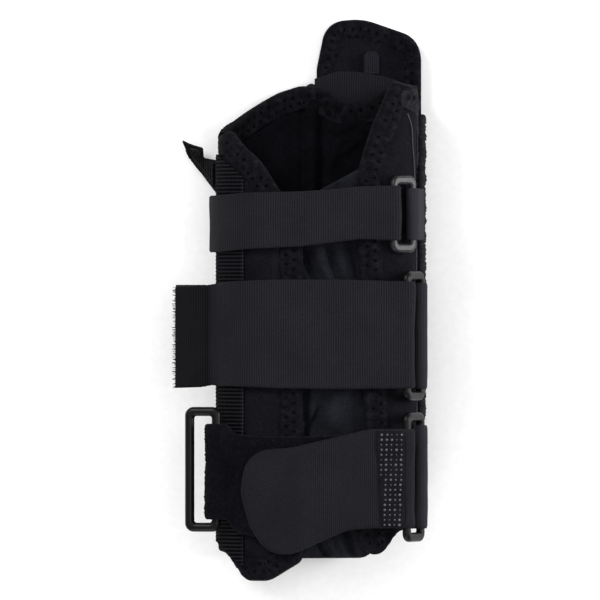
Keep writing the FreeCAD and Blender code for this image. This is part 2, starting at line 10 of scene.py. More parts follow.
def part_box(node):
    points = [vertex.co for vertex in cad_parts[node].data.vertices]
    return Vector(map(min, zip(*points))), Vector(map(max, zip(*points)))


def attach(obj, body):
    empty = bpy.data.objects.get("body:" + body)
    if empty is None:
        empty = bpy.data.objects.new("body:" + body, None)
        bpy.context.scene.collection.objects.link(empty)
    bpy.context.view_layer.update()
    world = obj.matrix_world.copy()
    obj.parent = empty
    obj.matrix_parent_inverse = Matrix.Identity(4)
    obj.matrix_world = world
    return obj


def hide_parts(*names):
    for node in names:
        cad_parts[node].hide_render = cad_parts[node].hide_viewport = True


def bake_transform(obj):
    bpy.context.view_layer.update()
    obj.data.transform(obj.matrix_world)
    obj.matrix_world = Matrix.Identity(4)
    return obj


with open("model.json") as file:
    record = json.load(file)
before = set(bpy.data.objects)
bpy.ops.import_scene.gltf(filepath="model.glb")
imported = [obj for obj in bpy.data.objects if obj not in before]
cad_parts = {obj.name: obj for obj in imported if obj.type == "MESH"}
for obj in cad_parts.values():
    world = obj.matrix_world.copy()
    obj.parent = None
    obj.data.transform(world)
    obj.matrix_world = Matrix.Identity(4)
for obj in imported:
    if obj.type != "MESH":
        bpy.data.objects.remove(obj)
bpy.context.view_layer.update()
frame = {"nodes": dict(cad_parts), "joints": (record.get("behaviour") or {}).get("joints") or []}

MM = 0.001
EXPOSURE = 0.66  # from the tone a cloth should show under the studio's light to its albedo


def box_mm(node):
    low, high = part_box(node)
    return np.array(low) / MM, np.array(high) / MM


# ------------------------------------------------------------ sizes, from the CAD's boxes (mm)
(LEFT, _, BACK), (RIGHT, _, _) = box_mm("back_panel")
FRONT = box_mm("left_front_flap")[1][2]
LOW_R, TOP_R = 20.0, 22.0  # of the bends at the foot of a side and at the shoulder
SEAM_Z = BACK + LOW_R
SHOULDER_Z = FRONT - TOP_R
SKIN = 4.4  # foam with its lining
FLAT_BACK = RIGHT - LEFT - 2 * LOW_R


# ------------------------------------------------------------ paths and outlines
def run_along(points):
    """Distance along a line of points, from its first."""
    return np.concatenate([[0.0], np.cumsum(np.linalg.norm(np.diff(points, axis=0), axis=1))])


class Path:
    """A bent line in a cross-section of the sleeve; outside is 1 if outwards is left of travel, or -1."""

    def __init__(self, x, z, heading, outside):
        self.points = [(x, z)]
        self.heading = heading
        self.outside = outside

    def line(self, length):
        count = max(1, int(abs(length)))
        x, z = self.points[-1]
        a = math.radians(self.heading)
        for i in range(1, count + 1):
            step = length * i / count
            self.points.append((x + math.cos(a) * step, z + math.sin(a) * step))
        return self

    def line_to_x(self, x):
        return self.line((x - self.points[-1][0]) / math.cos(math.radians(self.heading)))

    def arc(self, radius, turn):
        side = math.copysign(1.0, turn)
        x, z = self.points[-1]
        a = math.radians(self.heading)
        cx, cz = x - math.sin(a) * radius * side, z + math.cos(a) * radius * side
        count = max(2, int(abs(turn) / 3.0))
        for i in range(1, count + 1):
            b = math.radians(self.heading + turn * i / count)
            self.points.append((cx + math.sin(b) * radius * side, cz - math.cos(b) * radius * side))
        self.heading += turn
        return self

    def round_bar(self, centre, radius, until):
        """Straight to a tangent of a circle, and round it until the path heads that way."""
        x, z = self.points[-1]
        dx, dz = centre[0] - x, centre[1] - z
        reach = math.hypot(dx, dz)
        self.heading = math.degrees(math.atan2(dz, dx)) - math.degrees(math.asin(radius / reach))
        self.line(math.sqrt(reach**2 - radius**2))
        return self.arc(radius, (until - self.heading) % 360.0)

    def done(self):
        self.p = np.array(self.points)
        self.s = run_along(self.p)
        t = np.gradient(self.p, self.s, axis=0)
        t /= np.linalg.norm(t, axis=1)[:, None]
        self.n = np.stack([-t[:, 1], t[:, 0]], 1) * self.outside
        self.length = self.s[-1]
        return self

    def at(self, s, d):
        """Points (x, z) at arc length s and distance d outwards."""
        inside = np.clip(s, 0, self.length)
        x = np.interp(inside, self.s, self.p[:, 0])
        z = np.interp(inside, self.s, self.p[:, 1])
        nx = np.interp(inside, self.s, self.n[:, 0])
        nz = np.interp(inside, self.s, self.n[:, 1])
        over = s - inside
        tx, tz = nz * self.outside, -nx * self.outside
        return x + nx * d + tx * over, z + nz * d + tz * over


def rounded(corners, spacing):
    """Closed outline through (a, b, radius) corners as points at most spacing apart."""
    c = [np.array(q[:2], float) for q in corners]
    count = len(c)
    pieces = []
    for i, (_, _, radius) in enumerate(corners):
        here, before, after = c[i], c[i - 1], c[(i + 1) % count]
        u, v = before - here, after - here
        u, v = u / np.linalg.norm(u), v / np.linalg.norm(v)
        if radius:
            half = math.acos(np.clip(u @ v, -1, 1)) / 2
            a, b = here + u * radius / math.tan(half), here + v * radius / math.tan(half)
            bend = (u + v) / np.linalg.norm(u + v)
            centre = here + bend * radius / math.sin(half)
            start, stop = a - centre, b - centre
            a0 = math.atan2(start[1], start[0])
            turn = (math.atan2(stop[1], stop[0]) - a0 + math.pi) % (2 * math.pi) - math.pi
            steps = max(2, int(abs(turn) * radius / spacing) + 1)
            angles = a0 + turn * np.linspace(0, 1, steps)
            pieces.append(centre + radius * np.stack([np.cos(angles), np.sin(angles)], 1))
        else:
            pieces.append(here[None])
    loop = np.concatenate(pieces)
    out = []
    for a, b in zip(loop, np.roll(loop, -1, axis=0)):
        gap = np.linalg.norm(b - a)
        if gap < 1e-6:
            continue
        steps = max(1, int(math.ceil(gap / spacing)))
        out.append(a + (b - a) * (np.arange(steps) / steps)[:, None])
    loop = np.concatenate(out)
    x, y = loop.T
    area = np.sum(x * np.roll(y, -1) - y * np.roll(x, -1))
    return loop if area > 0 else loop[::-1]


def resampled(loop, spacing):
    """A closed loop at even spacing."""
    closed = np.vstack([loop, loop[:1]])
    s = run_along(closed)
    count = max(8, int(s[-1] / spacing))
    t = np.linspace(0, s[-1], count, endpoint=False)
    return np.stack([np.interp(t, s, closed[:, k]) for k in (0, 1)], 1)


def wobble(a, b, scale, seed, octaves=1):
    """A smooth random field of about unit size, with features of that scale (mm)."""
    r = np.random.default_rng(seed)
    total = np.zeros_like(np.asarray(a, float))
    for octave in range(octaves):
        k = 2 * math.pi / (scale / 2**octave)
        layer = np.zeros_like(total)
        for _ in range(7):
            angle, phase = r.uniform(0, 2 * math.pi, 2)
            stretch = r.uniform(0.6, 1.3)
            layer += np.sin(k * stretch * (a * math.cos(angle) + b * math.sin(angle)) + phase)
        total += layer / 2.6 / 2**octave
    return total


def grainy(shape, seed, amount):
    """Fine random nap over a grid, a little longer along its second side."""
    r = np.random.default_rng(seed)
    n = r.normal(0, 1, shape)
    return amount * (n + np.roll(n, 1, 0) + np.roll(n, 1, 1) + np.roll(n, -1, 1)) / 2


def rolled(t):
    """Height of a rounded edge at t of its width, from 0 at the edge to 1."""
    return np.sqrt(np.clip(1 - (1 - np.clip(t, 0, 1)) ** 2, 0, 1))


def smooth(x, low, high):
    """0 below low and 1 above high, with an S between."""
    t = np.clip((x - low) / (high - low), 0, 1)
    return t * t * (3 - 2 * t)


# ------------------------------------------------------------ meshes
def mesh_object(name, verts, faces, materials, uv, attributes=None, material_index=None):
    """A smooth mesh object from points in mm, with the cloth's (s, y) as its UV."""
    mesh = bpy.data.meshes.new(name)
    mesh.from_pydata((np.asarray(verts) * MM).tolist(), [], [list(map(int, f)) for f in faces])
    layer = mesh.uv_layers.new(name="cloth")
    index = np.zeros(len(mesh.loops), np.int32)
    mesh.loops.foreach_get("vertex_index", index)
    layer.data.foreach_set("uv", (np.asarray(uv)[index] * MM).astype(np.float32).ravel())
    for key, values in (attributes or {}).items():
        made = mesh.attributes.new(key, "FLOAT", "POINT")
        made.data.foreach_set("value", np.asarray(values, np.float32))
    if material_index is not None:
        mesh.polygons.foreach_set("material_index", np.asarray(material_index, np.int32))
    mesh.polygons.foreach_set("use_smooth", [True] * len(mesh.polygons))
    shell = bmesh.new()
    shell.from_mesh(mesh)
    bmesh.ops.recalc_face_normals(shell, faces=shell.faces)
    shell.to_mesh(mesh)
    shell.free()
    mesh.update()
    for material in materials:
        mesh.materials.append(material)
    made = bpy.data.objects.new(name, mesh)
    bpy.context.scene.collection.objects.link(made)
    return made


def to_edge(points, line, closed=True):
    """For each point: distance to a line of points, place along it, and the direction to it."""
    a = line if closed else line[:-1]
    b = np.roll(line, -1, axis=0) if closed else line[1:]
    gap = b - a
    length = np.linalg.norm(gap, axis=1)
    along = np.concatenate([[0], np.cumsum(length)[:-1]])
    best = np.full(len(points), 1e9)
    run = np.zeros(len(points))
    way = np.zeros((len(points), 2))
    for i in range(len(a)):
        t = np.clip(((points - a[i]) @ gap[i]) / max(length[i] ** 2, 1e-12), 0, 1)
        near = a[i] + t[:, None] * gap[i]
        delta = near - points
        d = np.hypot(delta[:, 0], delta[:, 1])
        closer = d < best
        best[closer] = d[closer]
        run[closer] = (along[i] + t * length[i])[closer]
        way[closer] = delta[closer]
    return best, run, way


def inside_loop(points, loop):
    """Which points are inside a closed loop, by counting the sides they pass."""
    x, y = points[:, 0], points[:, 1]
    odd = np.zeros(len(points), bool)
    for (x0, y0), (x1, y1) in zip(loop, np.roll(loop, -1, axis=0)):
        if y0 == y1:
            continue
        crosses = (y0 > y) != (y1 > y)
        odd ^= crosses & (x < (x1 - x0) * (y - y0) / (y1 - y0) + x0)
    return odd


def triangulated(loop, spacing, reach=None):
    """Points inside a loop (within reach of it, if given) and their triangles."""
    low, high = loop.min(0), loop.max(0)
    rows = np.arange(low[1], high[1], spacing * 0.87)
    grid = []
    for k, y in enumerate(rows):
        xs = np.arange(low[0] + (k % 2) * spacing / 2, high[0], spacing)
        grid.append(np.stack([xs, np.full_like(xs, y)], 1))
    grid = np.concatenate(grid)
    grid = grid[inside_loop(grid, loop)]
    distance, _, _ = to_edge(grid, loop)
    keep = distance > spacing * 0.6
    if reach is not None:
        keep &= distance < reach + 1.5 * spacing
    points = np.concatenate([loop, grid[keep]])
    count = len(loop)
    edges = [(i, (i + 1) % count) for i in range(count)]
    found = geometry.delaunay_2d_cdt([Vector(p) for p in points], edges, [], 1, 1e-5)
    verts, faces = np.array([tuple(v) for v in found[0]]), found[2]
    return verts, np.array([f for f in faces if len(f) == 3])


def pad(name, path, corners, skins, materials, spacing=1.5, relief=None, rim=1.3, bound=None, band=None,
        mouth=None):
    """A closed soft sheet over an outline in (arc length, y), bent along a path.

    skins is (outer, inner), each a distance outwards from the path. relief(s, y, e, run) gives extra
    (outer, inner) offsets, e being the distance in from the edge and run the place along it. bound
    says which outline points are a bound edge. With band, only that width along the bound edge is
    made. mouth(s, y) is 1 where the two skins stay apart at the edge, so that a stay can slide out.
    """
    step = spacing if band else 0.8 * spacing
    loop = resampled(rounded(corners, step), step)
    verts, faces = triangulated(loop, spacing, band)
    rim_e, run, way = to_edge(verts, loop)
    e = rim_e
    if bound is not None:
        e, run, way = to_edge(verts, bound_line(loop, bound), closed=False)
    if band:
        faces = faces[(e[faces] < band).any(axis=1)]
        over = e > band
        verts[over] += way[over] * ((e[over] - band) / e[over])[:, None]
        e = np.minimum(e, band)
    s, y = verts.T
    apart = mouth(s, y) if mouth else np.zeros(len(s))
    roll = np.maximum(rolled((e if band else rim_e) / rim), apart)
    extra = relief(s, y, e, run) if relief else (0.0, 0.0)
    middle, half = (skins[0] + skins[1]) / 2, (skins[0] - skins[1]) / 2
    top = middle + half * roll + extra[0] * roll
    low = middle - half * roll + extra[1] * roll
    if band:
        sink = 0.45 * smooth(e, band - 0.7, band)
        top -= sink
        low += sink
    used = np.unique(faces)
    on_edge = (rim_e < 1e-4) & (apart < 0.02)
    number = -np.ones(len(verts), int)
    number[used] = np.arange(len(used))
    under = number.copy()
    free = used[~on_edge[used]]
    under[free] = len(used) + np.arange(len(free))
    upper_x, upper_z = path.at(s[used], top[used])
    lower_x, lower_z = path.at(s[free], low[free])
    upper = np.stack([upper_x, y[used], upper_z], 1)
    lower = np.stack([lower_x, y[free], lower_z], 1)
    both = np.concatenate([used, free])
    return mesh_object(
        name,
        np.concatenate([upper, lower]),
        np.concatenate([number[faces], under[faces][:, ::-1]]),
        materials,
        verts[both],
        {"edge": e[both] * MM, "run": run[both] * MM},
        np.repeat([0, len(materials) - 1], len(faces)),
    )


def bound_line(loop, bound):
    """The stretch of a closed loop whose points are bound, as an open line."""
    flags = np.array([bound(p[0], p[1]) for p in loop])
    if flags.all():
        return np.vstack([loop, loop[:1]])
    start = next(i for i in range(len(loop)) if flags[i] and not flags[i - 1])
    order = (start + np.arange(len(loop))) % len(loop)
    stop = next((i for i, k in enumerate(order) if not flags[k]), len(order))
    return loop[order[:stop]]


def ribbon(name, path, y_range, thick, material, ns, ny, relief, edge=0.7, end=0.6):
    """A woven strap along a path: a grid with rolled selvedges, its low and high edge by y_range(s).

    relief(s, y, v) gives extra (outer, inner) offsets, v being the place across from 0 to 1.
    """
    s = np.linspace(0, path.length, ns + 1)[:, None]
    v = np.linspace(0, 1, ny + 1)[None]
    y_low, y_high = y_range(s)
    y = y_low + (y_high - y_low) * v
    s, v = np.broadcast_to(s, y.shape), np.broadcast_to(v, y.shape)
    selvedge = np.minimum(y - y_low, y_high - y)
    roll = rolled(np.minimum.reduce([selvedge / edge, s / end, (path.length - s) / end]))
    extra = relief(s, y, v)
    half = thick / 2 * (0.25 + 0.75 * roll)
    upper_x, upper_z = path.at(s, half + extra[0])
    lower_x, lower_z = path.at(s, extra[1] - half)
    points = np.concatenate([
        np.stack([upper_x, y, upper_z], -1).reshape(-1, 3),
        np.stack([lower_x, y, lower_z], -1).reshape(-1, 3),
    ])
    i, j = np.meshgrid(np.arange(ns), np.arange(ny), indexing="ij")
    a = (i * (ny + 1) + j).ravel()
    quads = np.stack([a, a + 1, a + ny + 2, a + ny + 1], 1)
    across, along = np.arange(ny + 1), np.arange(ns + 1) * (ny + 1)
    sides = []
    for line in (across, across[::-1] + along[-1], along + ny, along[::-1]):
        sides.append(np.stack([line[:-1], line[:-1] + y.size, line[1:] + y.size, line[1:]], 1))
    uv = np.stack([s.ravel(), y.ravel()], 1)
    return mesh_object(
        name,
        points,
        np.concatenate([quads, quads[:, ::-1] + y.size, *sides]),
        [material],
        np.vstack([uv, uv]),
        {"edge": np.tile(selvedge.ravel(), 2) * MM},
    )


def tubes(name, lines, radius, material, sides=5):
    """Thread, cord or fibre: round tubes along lines of 3-D points, as one mesh."""
    points, faces = [], []
    base = 0
    turn = np.linspace(0, 2 * math.pi, sides, endpoint=False)[None, :, None]
    for line in lines:
        t = np.gradient(line, axis=0)
        t /= np.maximum(np.linalg.norm(t, axis=1), 1e-9)[:, None]
        u = np.cross(t, np.where(np.abs(t[:, 2:3]) > 0.9, [[1.0, 0, 0]], [[0, 0, 1.0]]))
        u /= np.linalg.norm(u, axis=1)[:, None]
        w = np.cross(t, u)
        ring = line[:, None] + radius * (np.cos(turn) * u[:, None] + np.sin(turn) * w[:, None])
        points.append(ring.reshape(-1, 3))
        last = (len(line) - 1) * sides
        a = base + np.arange(last)
        b = base + np.arange(last) // sides * sides + (np.arange(last) + 1) % sides
        faces += np.stack([a, b, b + sides, a + sides], 1).tolist()
        faces += [(base + np.arange(sides)[::-1]).tolist(), (base + last + np.arange(sides)).tolist()]
        base += last + sides
    points = np.concatenate(points)
    return mesh_object(name, points, faces, [material], points[:, :2])


def zigzag(path, line, inset, reach, pitch, lift, level):
    """Points of a zigzag thread that runs along an edge line, on a skin at that level."""
    s = run_along(line)
    count = int(s[-1] / pitch) * 4
    t = np.linspace(0, s[-1], count)
    at = np.stack([np.interp(t, s, line[:, k]) for k in (0, 1)], 1)
    way = np.gradient(at, axis=0)
    kernel = np.ones(9) / 9
    way = np.stack([np.convolve(np.pad(way[:, k], 4, mode="edge"), kernel, "valid") for k in (0, 1)], 1)
    way /= np.linalg.norm(way, axis=1)[:, None]
    inward = np.stack([-way[:, 1], way[:, 0]], 1)
    phase = np.arange(count) % 4
    across = inset + reach * np.array([0.0, 1.0, 1.0, 0.0])[phase] - reach / 2
    at = at + inward * across[:, None]
    height = level + lift * np.array([0.15, 0.6, 0.15, 0.6])[phase]
    x, z = path.at(at[:, 0], height)
    return np.stack([x, at[:, 1], z], 1)


# ------------------------------------------------------------ materials
def linear(*srgb):
    """Albedo for a tone as it should look under the studio's light."""
    return [EXPOSURE * (((v / 255 + 0.055) / 1.055) ** 2.4 if v > 10 else v / 255 / 12.92) for v in srgb]


class Signal:
    """A value in a material's node tree, so that the tree can be written as arithmetic."""

    def __init__(self, look, socket):
        self.look, self.socket = look, socket

    def __add__(self, other):
        return self.look.calc("ADD", self, other)

    def __sub__(self, other):
        return self.look.calc("SUBTRACT", self, other)

    def __rsub__(self, other):
        return self.look.calc("SUBTRACT", other, self)

    def __mul__(self, other):
        return self.look.calc("MULTIPLY", self, other)

    def __pow__(self, power):
        return self.look.calc("POWER", self, power)

    def __abs__(self):
        return self.look.calc("ABSOLUTE", self)


class Look:
    """A procedural material around one Principled shader."""

    def __init__(self, name, roughness, specular, sheen=0.0, sheen_roughness=0.5, metallic=0.0, coat=0.0):
        self.material = bpy.data.materials.new(name)
        self.material.use_nodes = True
        self.tree = self.material.node_tree
        self.shader = self.tree.nodes["Principled BSDF"]
        self.shader.inputs["Roughness"].default_value = roughness
        self.shader.inputs["Sheen Weight"].default_value = sheen
        self.shader.inputs["Sheen Roughness"].default_value = sheen_roughness
        self.shader.inputs["Specular IOR Level"].default_value = specular
        self.shader.inputs["Metallic"].default_value = metallic
        self.shader.inputs["Coat Weight"].default_value = coat
        self.shader.inputs["Coat Roughness"].default_value = 0.18

    def node(self, kind, **inputs):
        made = self.tree.nodes.new(kind)
        for key, value in inputs.items():
            self.put(made.inputs[key.replace("_", " ")], value)
        return made

    def put(self, socket, value):
        if isinstance(value, Signal):
            self.tree.links.new(value.socket, socket)
        else:
            socket.default_value = value

    def calc(self, operation, *values):
        made = self.tree.nodes.new("ShaderNodeMath")
        made.operation = operation
        for socket, value in zip(made.inputs, values):
            self.put(socket, value)
        return Signal(self, made.outputs[0])

    def clamp(self, value):
        return Signal(self, self.node("ShaderNodeClamp", Value=value).outputs[0])

    def cloth(self):
        """Place along and across the cloth in metres, and both as a vector."""
        uv = self.tree.nodes.new("ShaderNodeUVMap")
        uv.uv_map = "cloth"
        uv = Signal(self, uv.outputs[0])
        split = self.node("ShaderNodeSeparateXYZ", Vector=uv)
        return Signal(self, split.outputs[0]), Signal(self, split.outputs[1]), uv

    def place(self):
        return Signal(self, self.tree.nodes.new("ShaderNodeTexCoord").outputs["Object"])

    def value_of(self, attribute):
        made = self.tree.nodes.new("ShaderNodeAttribute")
        made.attribute_name = attribute
        return Signal(self, made.outputs["Fac"])

    def noise(self, vector, scale, detail=3.0, rough=0.55):
        made = self.node("ShaderNodeTexNoise", Vector=vector, Scale=scale, Detail=detail, Roughness=rough)
        return Signal(self, made.outputs["Fac"])

    def cells(self, vector, scale, jitter=1.0):
        made = self.node("ShaderNodeTexVoronoi", Vector=vector, Scale=scale, Randomness=jitter)
        return Signal(self, made.outputs["Distance"])

    def wave(self, coordinate, pitch, phase=0.0):
        """A sine from 0 to 1 with that pitch in metres."""
        turn = self.calc("MULTIPLY_ADD", coordinate, 2 * math.pi / pitch, phase)
        return self.calc("MULTIPLY_ADD", self.calc("SINE", turn), 0.5, 0.5)

    def ramp(self, value, *stops):
        made = self.node("ShaderNodeValToRGB", Fac=value)
        ramp = made.color_ramp
        while len(ramp.elements) < len(stops):
            ramp.elements.new(0.5)
        for element, (at, colour) in zip(ramp.elements, stops):
            element.position = at
            element.color = [*colour, 1.0]
        return Signal(self, made.outputs["Color"])

    def shades(self, value, tone, *stops):
        """A ramp through darker and lighter shades of a tone, by (place, how light) stops."""
        return self.ramp(value, *[(at, [v * light for v in tone]) for at, light in stops])

    def blend(self, fac, first, second):
        made = self.tree.nodes.new("ShaderNodeMix")
        made.data_type = "RGBA"
        for socket, value in zip((made.inputs[0], made.inputs[6], made.inputs[7]), (fac, first, second)):
            self.put(socket, value)
        return Signal(self, made.outputs[2])

    def finish(self, colour, height, depth, roughness=None):
        self.put(self.shader.inputs["Base Color"], colour)
        if roughness is not None:
            self.put(self.shader.inputs["Roughness"], roughness)
        bump = self.node("ShaderNodeBump", Height=height, Distance=depth, Strength=1.0)
        self.put(self.shader.inputs["Normal"], Signal(self, bump.outputs[0]))
        return self.material


def webbing_look(name, tone, rib=0.0011, pick=0.0008, depth=0.00028, twill_from=None, painted_shade_from=None, dim=1.0):
    """Flat woven webbing: ribs across the strap, fine picks along it.

    Past twill_from the weave is a slanting twill. Where the strap bends, shade is painted: a darker crease
    band at the bend, and a darker colour on the rest of the strap beyond it.
    """
    look = Look(name, 0.8, 0.04, sheen=0.015, sheen_roughness=0.4)
    u, v, uv = look.cloth()
    ribs = look.wave(u + look.noise(uv, 60.0, 2.0) * 0.0004, rib)
    height = ribs * 0.75 + look.wave(v, pick) * 0.25
    if twill_from is not None:
        slant = look.wave(u * 0.8 + v * 0.62, 0.0008)
        there = look.clamp((u - twill_from) * 120.0)
        height = height * (1.0 - there) + slant * there
    height = height + look.noise(uv, 2600.0, 2.0, 0.7) * 0.35
    # Painted shade and highlight: the colour follows the ribs' height, valleys darker and tops lighter, over
    # a random mottle.
    shade = height * 0.55 + look.noise(uv, 45.0, 4.0, 0.6) * 0.4
    colour = look.shades(shade, tone, (0.2, 0.5), (0.52, 1.0), (0.9, 1.6))
    if painted_shade_from is not None:
        # Painted shade: beyond the bend the colour is painted darker, and a darker crease band is painted at
        # the bend.
        painted_shade_mask = look.clamp((u - painted_shade_from) * 350.0)
        bend = look.clamp(1.0 - abs(u - (painted_shade_from + 0.0018)) * 420.0)
        dark = look.shades(shade - bend * 0.3, tone, (0.2, 0.4 * dim), (0.9, 1.5 * dim))
        colour = look.blend(painted_shade_mask, colour, dark)
    return look.finish(colour, height, depth)


def ribbed_look(name, tone, rib, bead):
    """Heavy webbing: a thick rib across at every pick, its warp showing as beads."""
    look = Look(name, 0.85, 0.02)
    u, v, uv = look.cloth()
    ribs = abs(look.calc("SINE", v * (math.pi / rib))) ** 0.8
    height = ribs * (look.wave(u, bead) * 0.45 + 0.55)
    fuzz = look.noise(uv, 1800.0, 3.0, 0.7)
    # Painted shade and highlight: the colour follows the ribs' height, grooves painted dark and rib tops
    # painted light.
    colour = look.shades(fuzz * 0.3 + height * 0.75, tone, (0.48, 0.12), (0.74, 1.0), (0.92, 2.3))
    return look.finish(colour, height + fuzz * 0.2, 0.0004)


def knit_look(name, tone, cell=1500.0, sheen=0.01, mottle=0.5):
    """A close knit or brushed face on foam."""
    look = Look(name, 0.9, 0.02, sheen=sheen)
    uv = look.cloth()[2]
    nap = look.noise(uv, 700.0, 4.0, 0.7)
    height = look.cells(uv, cell, 0.55) * 0.7 + nap * 0.6
    shade = nap * 0.5 + look.noise(uv, 75.0, 4.0, 0.65) * mottle
    colour = look.shades(shade, tone, (0.25, 0.4), (0.5, 1.0), (0.78, 2.1))
    return look.finish(colour, height, 0.00014)


def binding_look(name, tone):
    """Elastic edge tape: crosswise ribs, and holes where the zigzag pulls it in, sunk by the bump and painted
    darker as shade.
    """
    look = Look(name, 0.85, 0.02, sheen=0.01)
    uv = look.cloth()[2]
    edge, run = look.value_of("edge"), look.value_of("run")
    fibre = look.noise(uv, 1100.0, 3.0, 0.7)
    blotch = look.noise(uv, 260.0, 3.0, 0.6)
    stitch_holes_and_shade = 0.0
    for row, phase in BINDING_ROWS:
        near = look.clamp(1.0 - abs(edge - row * MM) * 850.0)
        hole = look.wave(run, STITCH_PITCH * MM, phase) ** 5.0
        stitch_holes_and_shade = look.calc("MAXIMUM", near * hole, stitch_holes_and_shade)
    stitch_holes_and_shade = stitch_holes_and_shade * (blotch * 1.8)
    height = look.wave(run, 0.0011) * 0.15 + fibre * 0.5 + look.cells(uv, 420.0, 0.9) * 0.6
    # Painted shade: the stitch holes are painted darker.
    shade = fibre * 0.3 + blotch * 0.7 - stitch_holes_and_shade * 0.5
    colour = look.shades(shade, tone, (0.2, 0.1), (0.5, 1.0), (0.7, 2.3))
    return look.finish(colour, height - stitch_holes_and_shade, 0.0003)


def pile_look(name, tone):
    """Loop pile: matted curls with a soft sheen."""
    look = Look(name, 0.95, 0.03, sheen=0.015)
    uv = look.cloth()[2]
    matted = look.noise(uv, 420.0, 5.0, 0.75)
    height = look.cells(uv, 1150.0) * 0.8 + matted * 1.1
    shade = matted * 0.6 + look.noise(uv, 60.0, 3.0, 0.6) * 0.4
    colour = look.shades(shade, tone, (0.3, 0.5), (0.5, 1.0), (0.75, 2.2))
    return look.finish(colour, height, 0.0005)


def hook_look(name, tone):
    """Hook tape: rows of tiny stiff hooks."""
    look = Look(name, 0.5, 0.2)
    u, v, uv = look.cloth()
    height = look.wave(u, 0.0012) * look.wave(v, 0.0008) + look.noise(uv, 1500.0) * 0.4
    # Painted shade and highlight: the colour follows the hooks' height, low places darker and tops lighter.
    colour = look.shades(height, tone, (0.2, 0.5), (0.7, 1.0), (1.0, 2.4))
    return look.finish(colour, height, 0.0004)


def thread_look(name, tone):
    """Twisted polyester thread or cord."""
    look = Look(name, 0.7, 0.05, sheen=0.01)
    twist = look.noise(look.place(), 2500.0, 2.0)
    return look.finish(look.shades(twist, tone, (0.3, 0.6), (0.7, 1.4)), twist, 0.00005)


def plastic_look(name, tone, roughness=0.35, specular=0.22):
    """Moulded acetal: satin, with a fine orange-peel and faint handling marks."""
    look = Look(name, roughness, specular, coat=0.02)
    place = look.place()
    peel = look.noise(place, 900.0, 2.0)
    marks = look.noise(place, 140.0, 5.0, 0.7)
    colour = look.shades(marks, tone, (0.35, 0.85), (0.7, 1.25))
    return look.finish(colour, peel, 0.00003, marks * 0.16 + (roughness - 0.08))


def metal_look(name):
    """Flat bar, drawn along its length, with small scratches."""
    look = Look(name, 0.35, 0.3, metallic=1.0)
    place = look.place()
    stretched = look.node("ShaderNodeMapping", Vector=place, Scale=(900.0, 12.0, 900.0)).outputs[0]
    grain = look.noise(Signal(look, stretched), 1.0)
    colour = look.ramp(look.noise(place, 70.0), (0.3, (0.1, 0.1, 0.105)), (0.7, (0.19, 0.19, 0.2)))
    return look.finish(colour, grain, 0.00004, grain * 0.3 + 0.25)


STITCH_PITCH = 4.4  # of the binding's zigzag (mm)
BINDING_ROWS = ((4.4, 0.0), (7.9, math.pi))  # distance in from the edge and phase of its holes
RIB, BEAD = 1.75, 0.9  # pitch of the shoulder webbing's ribs, and of the beads along them
STRAP_TONE = linear(31, 30.2, 34.8)

strap_cloth = webbing_look("strap_webbing", STRAP_TONE)
forearm_cloth = webbing_look("forearm_webbing", STRAP_TONE, rib=0.0009, twill_from=0.062)
# Painted light: the chapes' webbing is painted lighter than the straps' to make up for the shade it lies in,
# low beside the rings.
chape_cloth_painted_light = webbing_look("chape_webbing", linear(44, 43.2, 49), rib=0.0006, pick=0.0005, depth=0.00015)
thumb_cloth = webbing_look("thumb_webbing", linear(29.5, 28.7, 33.3))
pull_tape = webbing_look("pull_tape", linear(31.5, 30.5, 36.5), rib=0.0009)
web_cloth = ribbed_look("ribbed_webbing", linear(31, 30.2, 35.2), RIB * MM, BEAD * MM)
laminate = knit_look("padded_laminate", linear(19.8, 19, 23.8))
# The lining has its own dark tone, darkened further as painted shade for the inside of the sleeve.
lining_knit = knit_look("lining_knit", linear(13.2, 12.8, 17), cell=1100.0, sheen=0.0)
tongue_knit = knit_look("tongue_knit", linear(26.5, 27.3, 32.5), cell=1700.0, sheen=0.02, mottle=0.6)
grip_base = knit_look("grip_backing", linear(31, 30.2, 34.8), mottle=0.3)
edge_tape = binding_look("edge_binding", linear(19, 18.2, 22.8))
# Painted highlight: the puckered end of the stay's pocket is painted lighter than the binding, for the
# highlights on its lumps.
puckered = binding_look("puckered_tape", linear(32, 31.4, 36))
loop_pile = pile_look("loop_pile", linear(14.5, 14, 19))
side_pile = pile_look("side_pile", linear(38, 37.5, 43))
laminate_edge = pile_look("rolled_edge", linear(19, 18.5, 23))
hook_tape = hook_look("hook_tape", linear(19, 18, 22))
thread = thread_look("sewing_thread", linear(20, 19.2, 24))
# Painted highlight: the cord on the right shoulder's seam is painted pale for the highlight along that edge.
piping_painted_highlight = thread_look("pale_piping", linear(70, 70, 76))
seam_cord = thread_look("seam_cord", linear(31, 30, 36))
# Painted light: the palm ring's plastic is the rings' plastic made lighter, for the highlights it catches
# from the right.
ring_plastic = plastic_look("ring_plastic", linear(33, 33, 37))
dark_plastic = plastic_look("dark_ring_plastic", linear(12, 11.5, 14), specular=0.12)
grip_dot = plastic_look("grip_dots", linear(88, 88, 94), 0.4)
stay_metal = metal_look("stay_metal")


# ------------------------------------------------------------ helpers for pieces
JOINTS = {joint["name"]: joint for joint in frame["joints"]}


def pivot(joint):
    """(x, z) of a hinge along the sleeve, in mm."""
    x, _, z = JOINTS[joint]["pos_m"]
    return x / MM, z / MM


HINGE_Z = pivot("left_flap_open")[1]
FOLD = (HINGE_Z - 3.4, HINGE_Z + 3.6)  # heights between which a flap bends away from its side


def settle(piece, body, nodes=(), fold=False):
    """Put a piece on its body, or with fold leave it loose with its placement baked in, and hide the CAD
    parts it stands for.
    """
    if fold:
        FOLD[0] * MM
        FOLD[1] * MM
        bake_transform(piece)
    else:
        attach(piece, body)
    if nodes:
        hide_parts(*nodes)


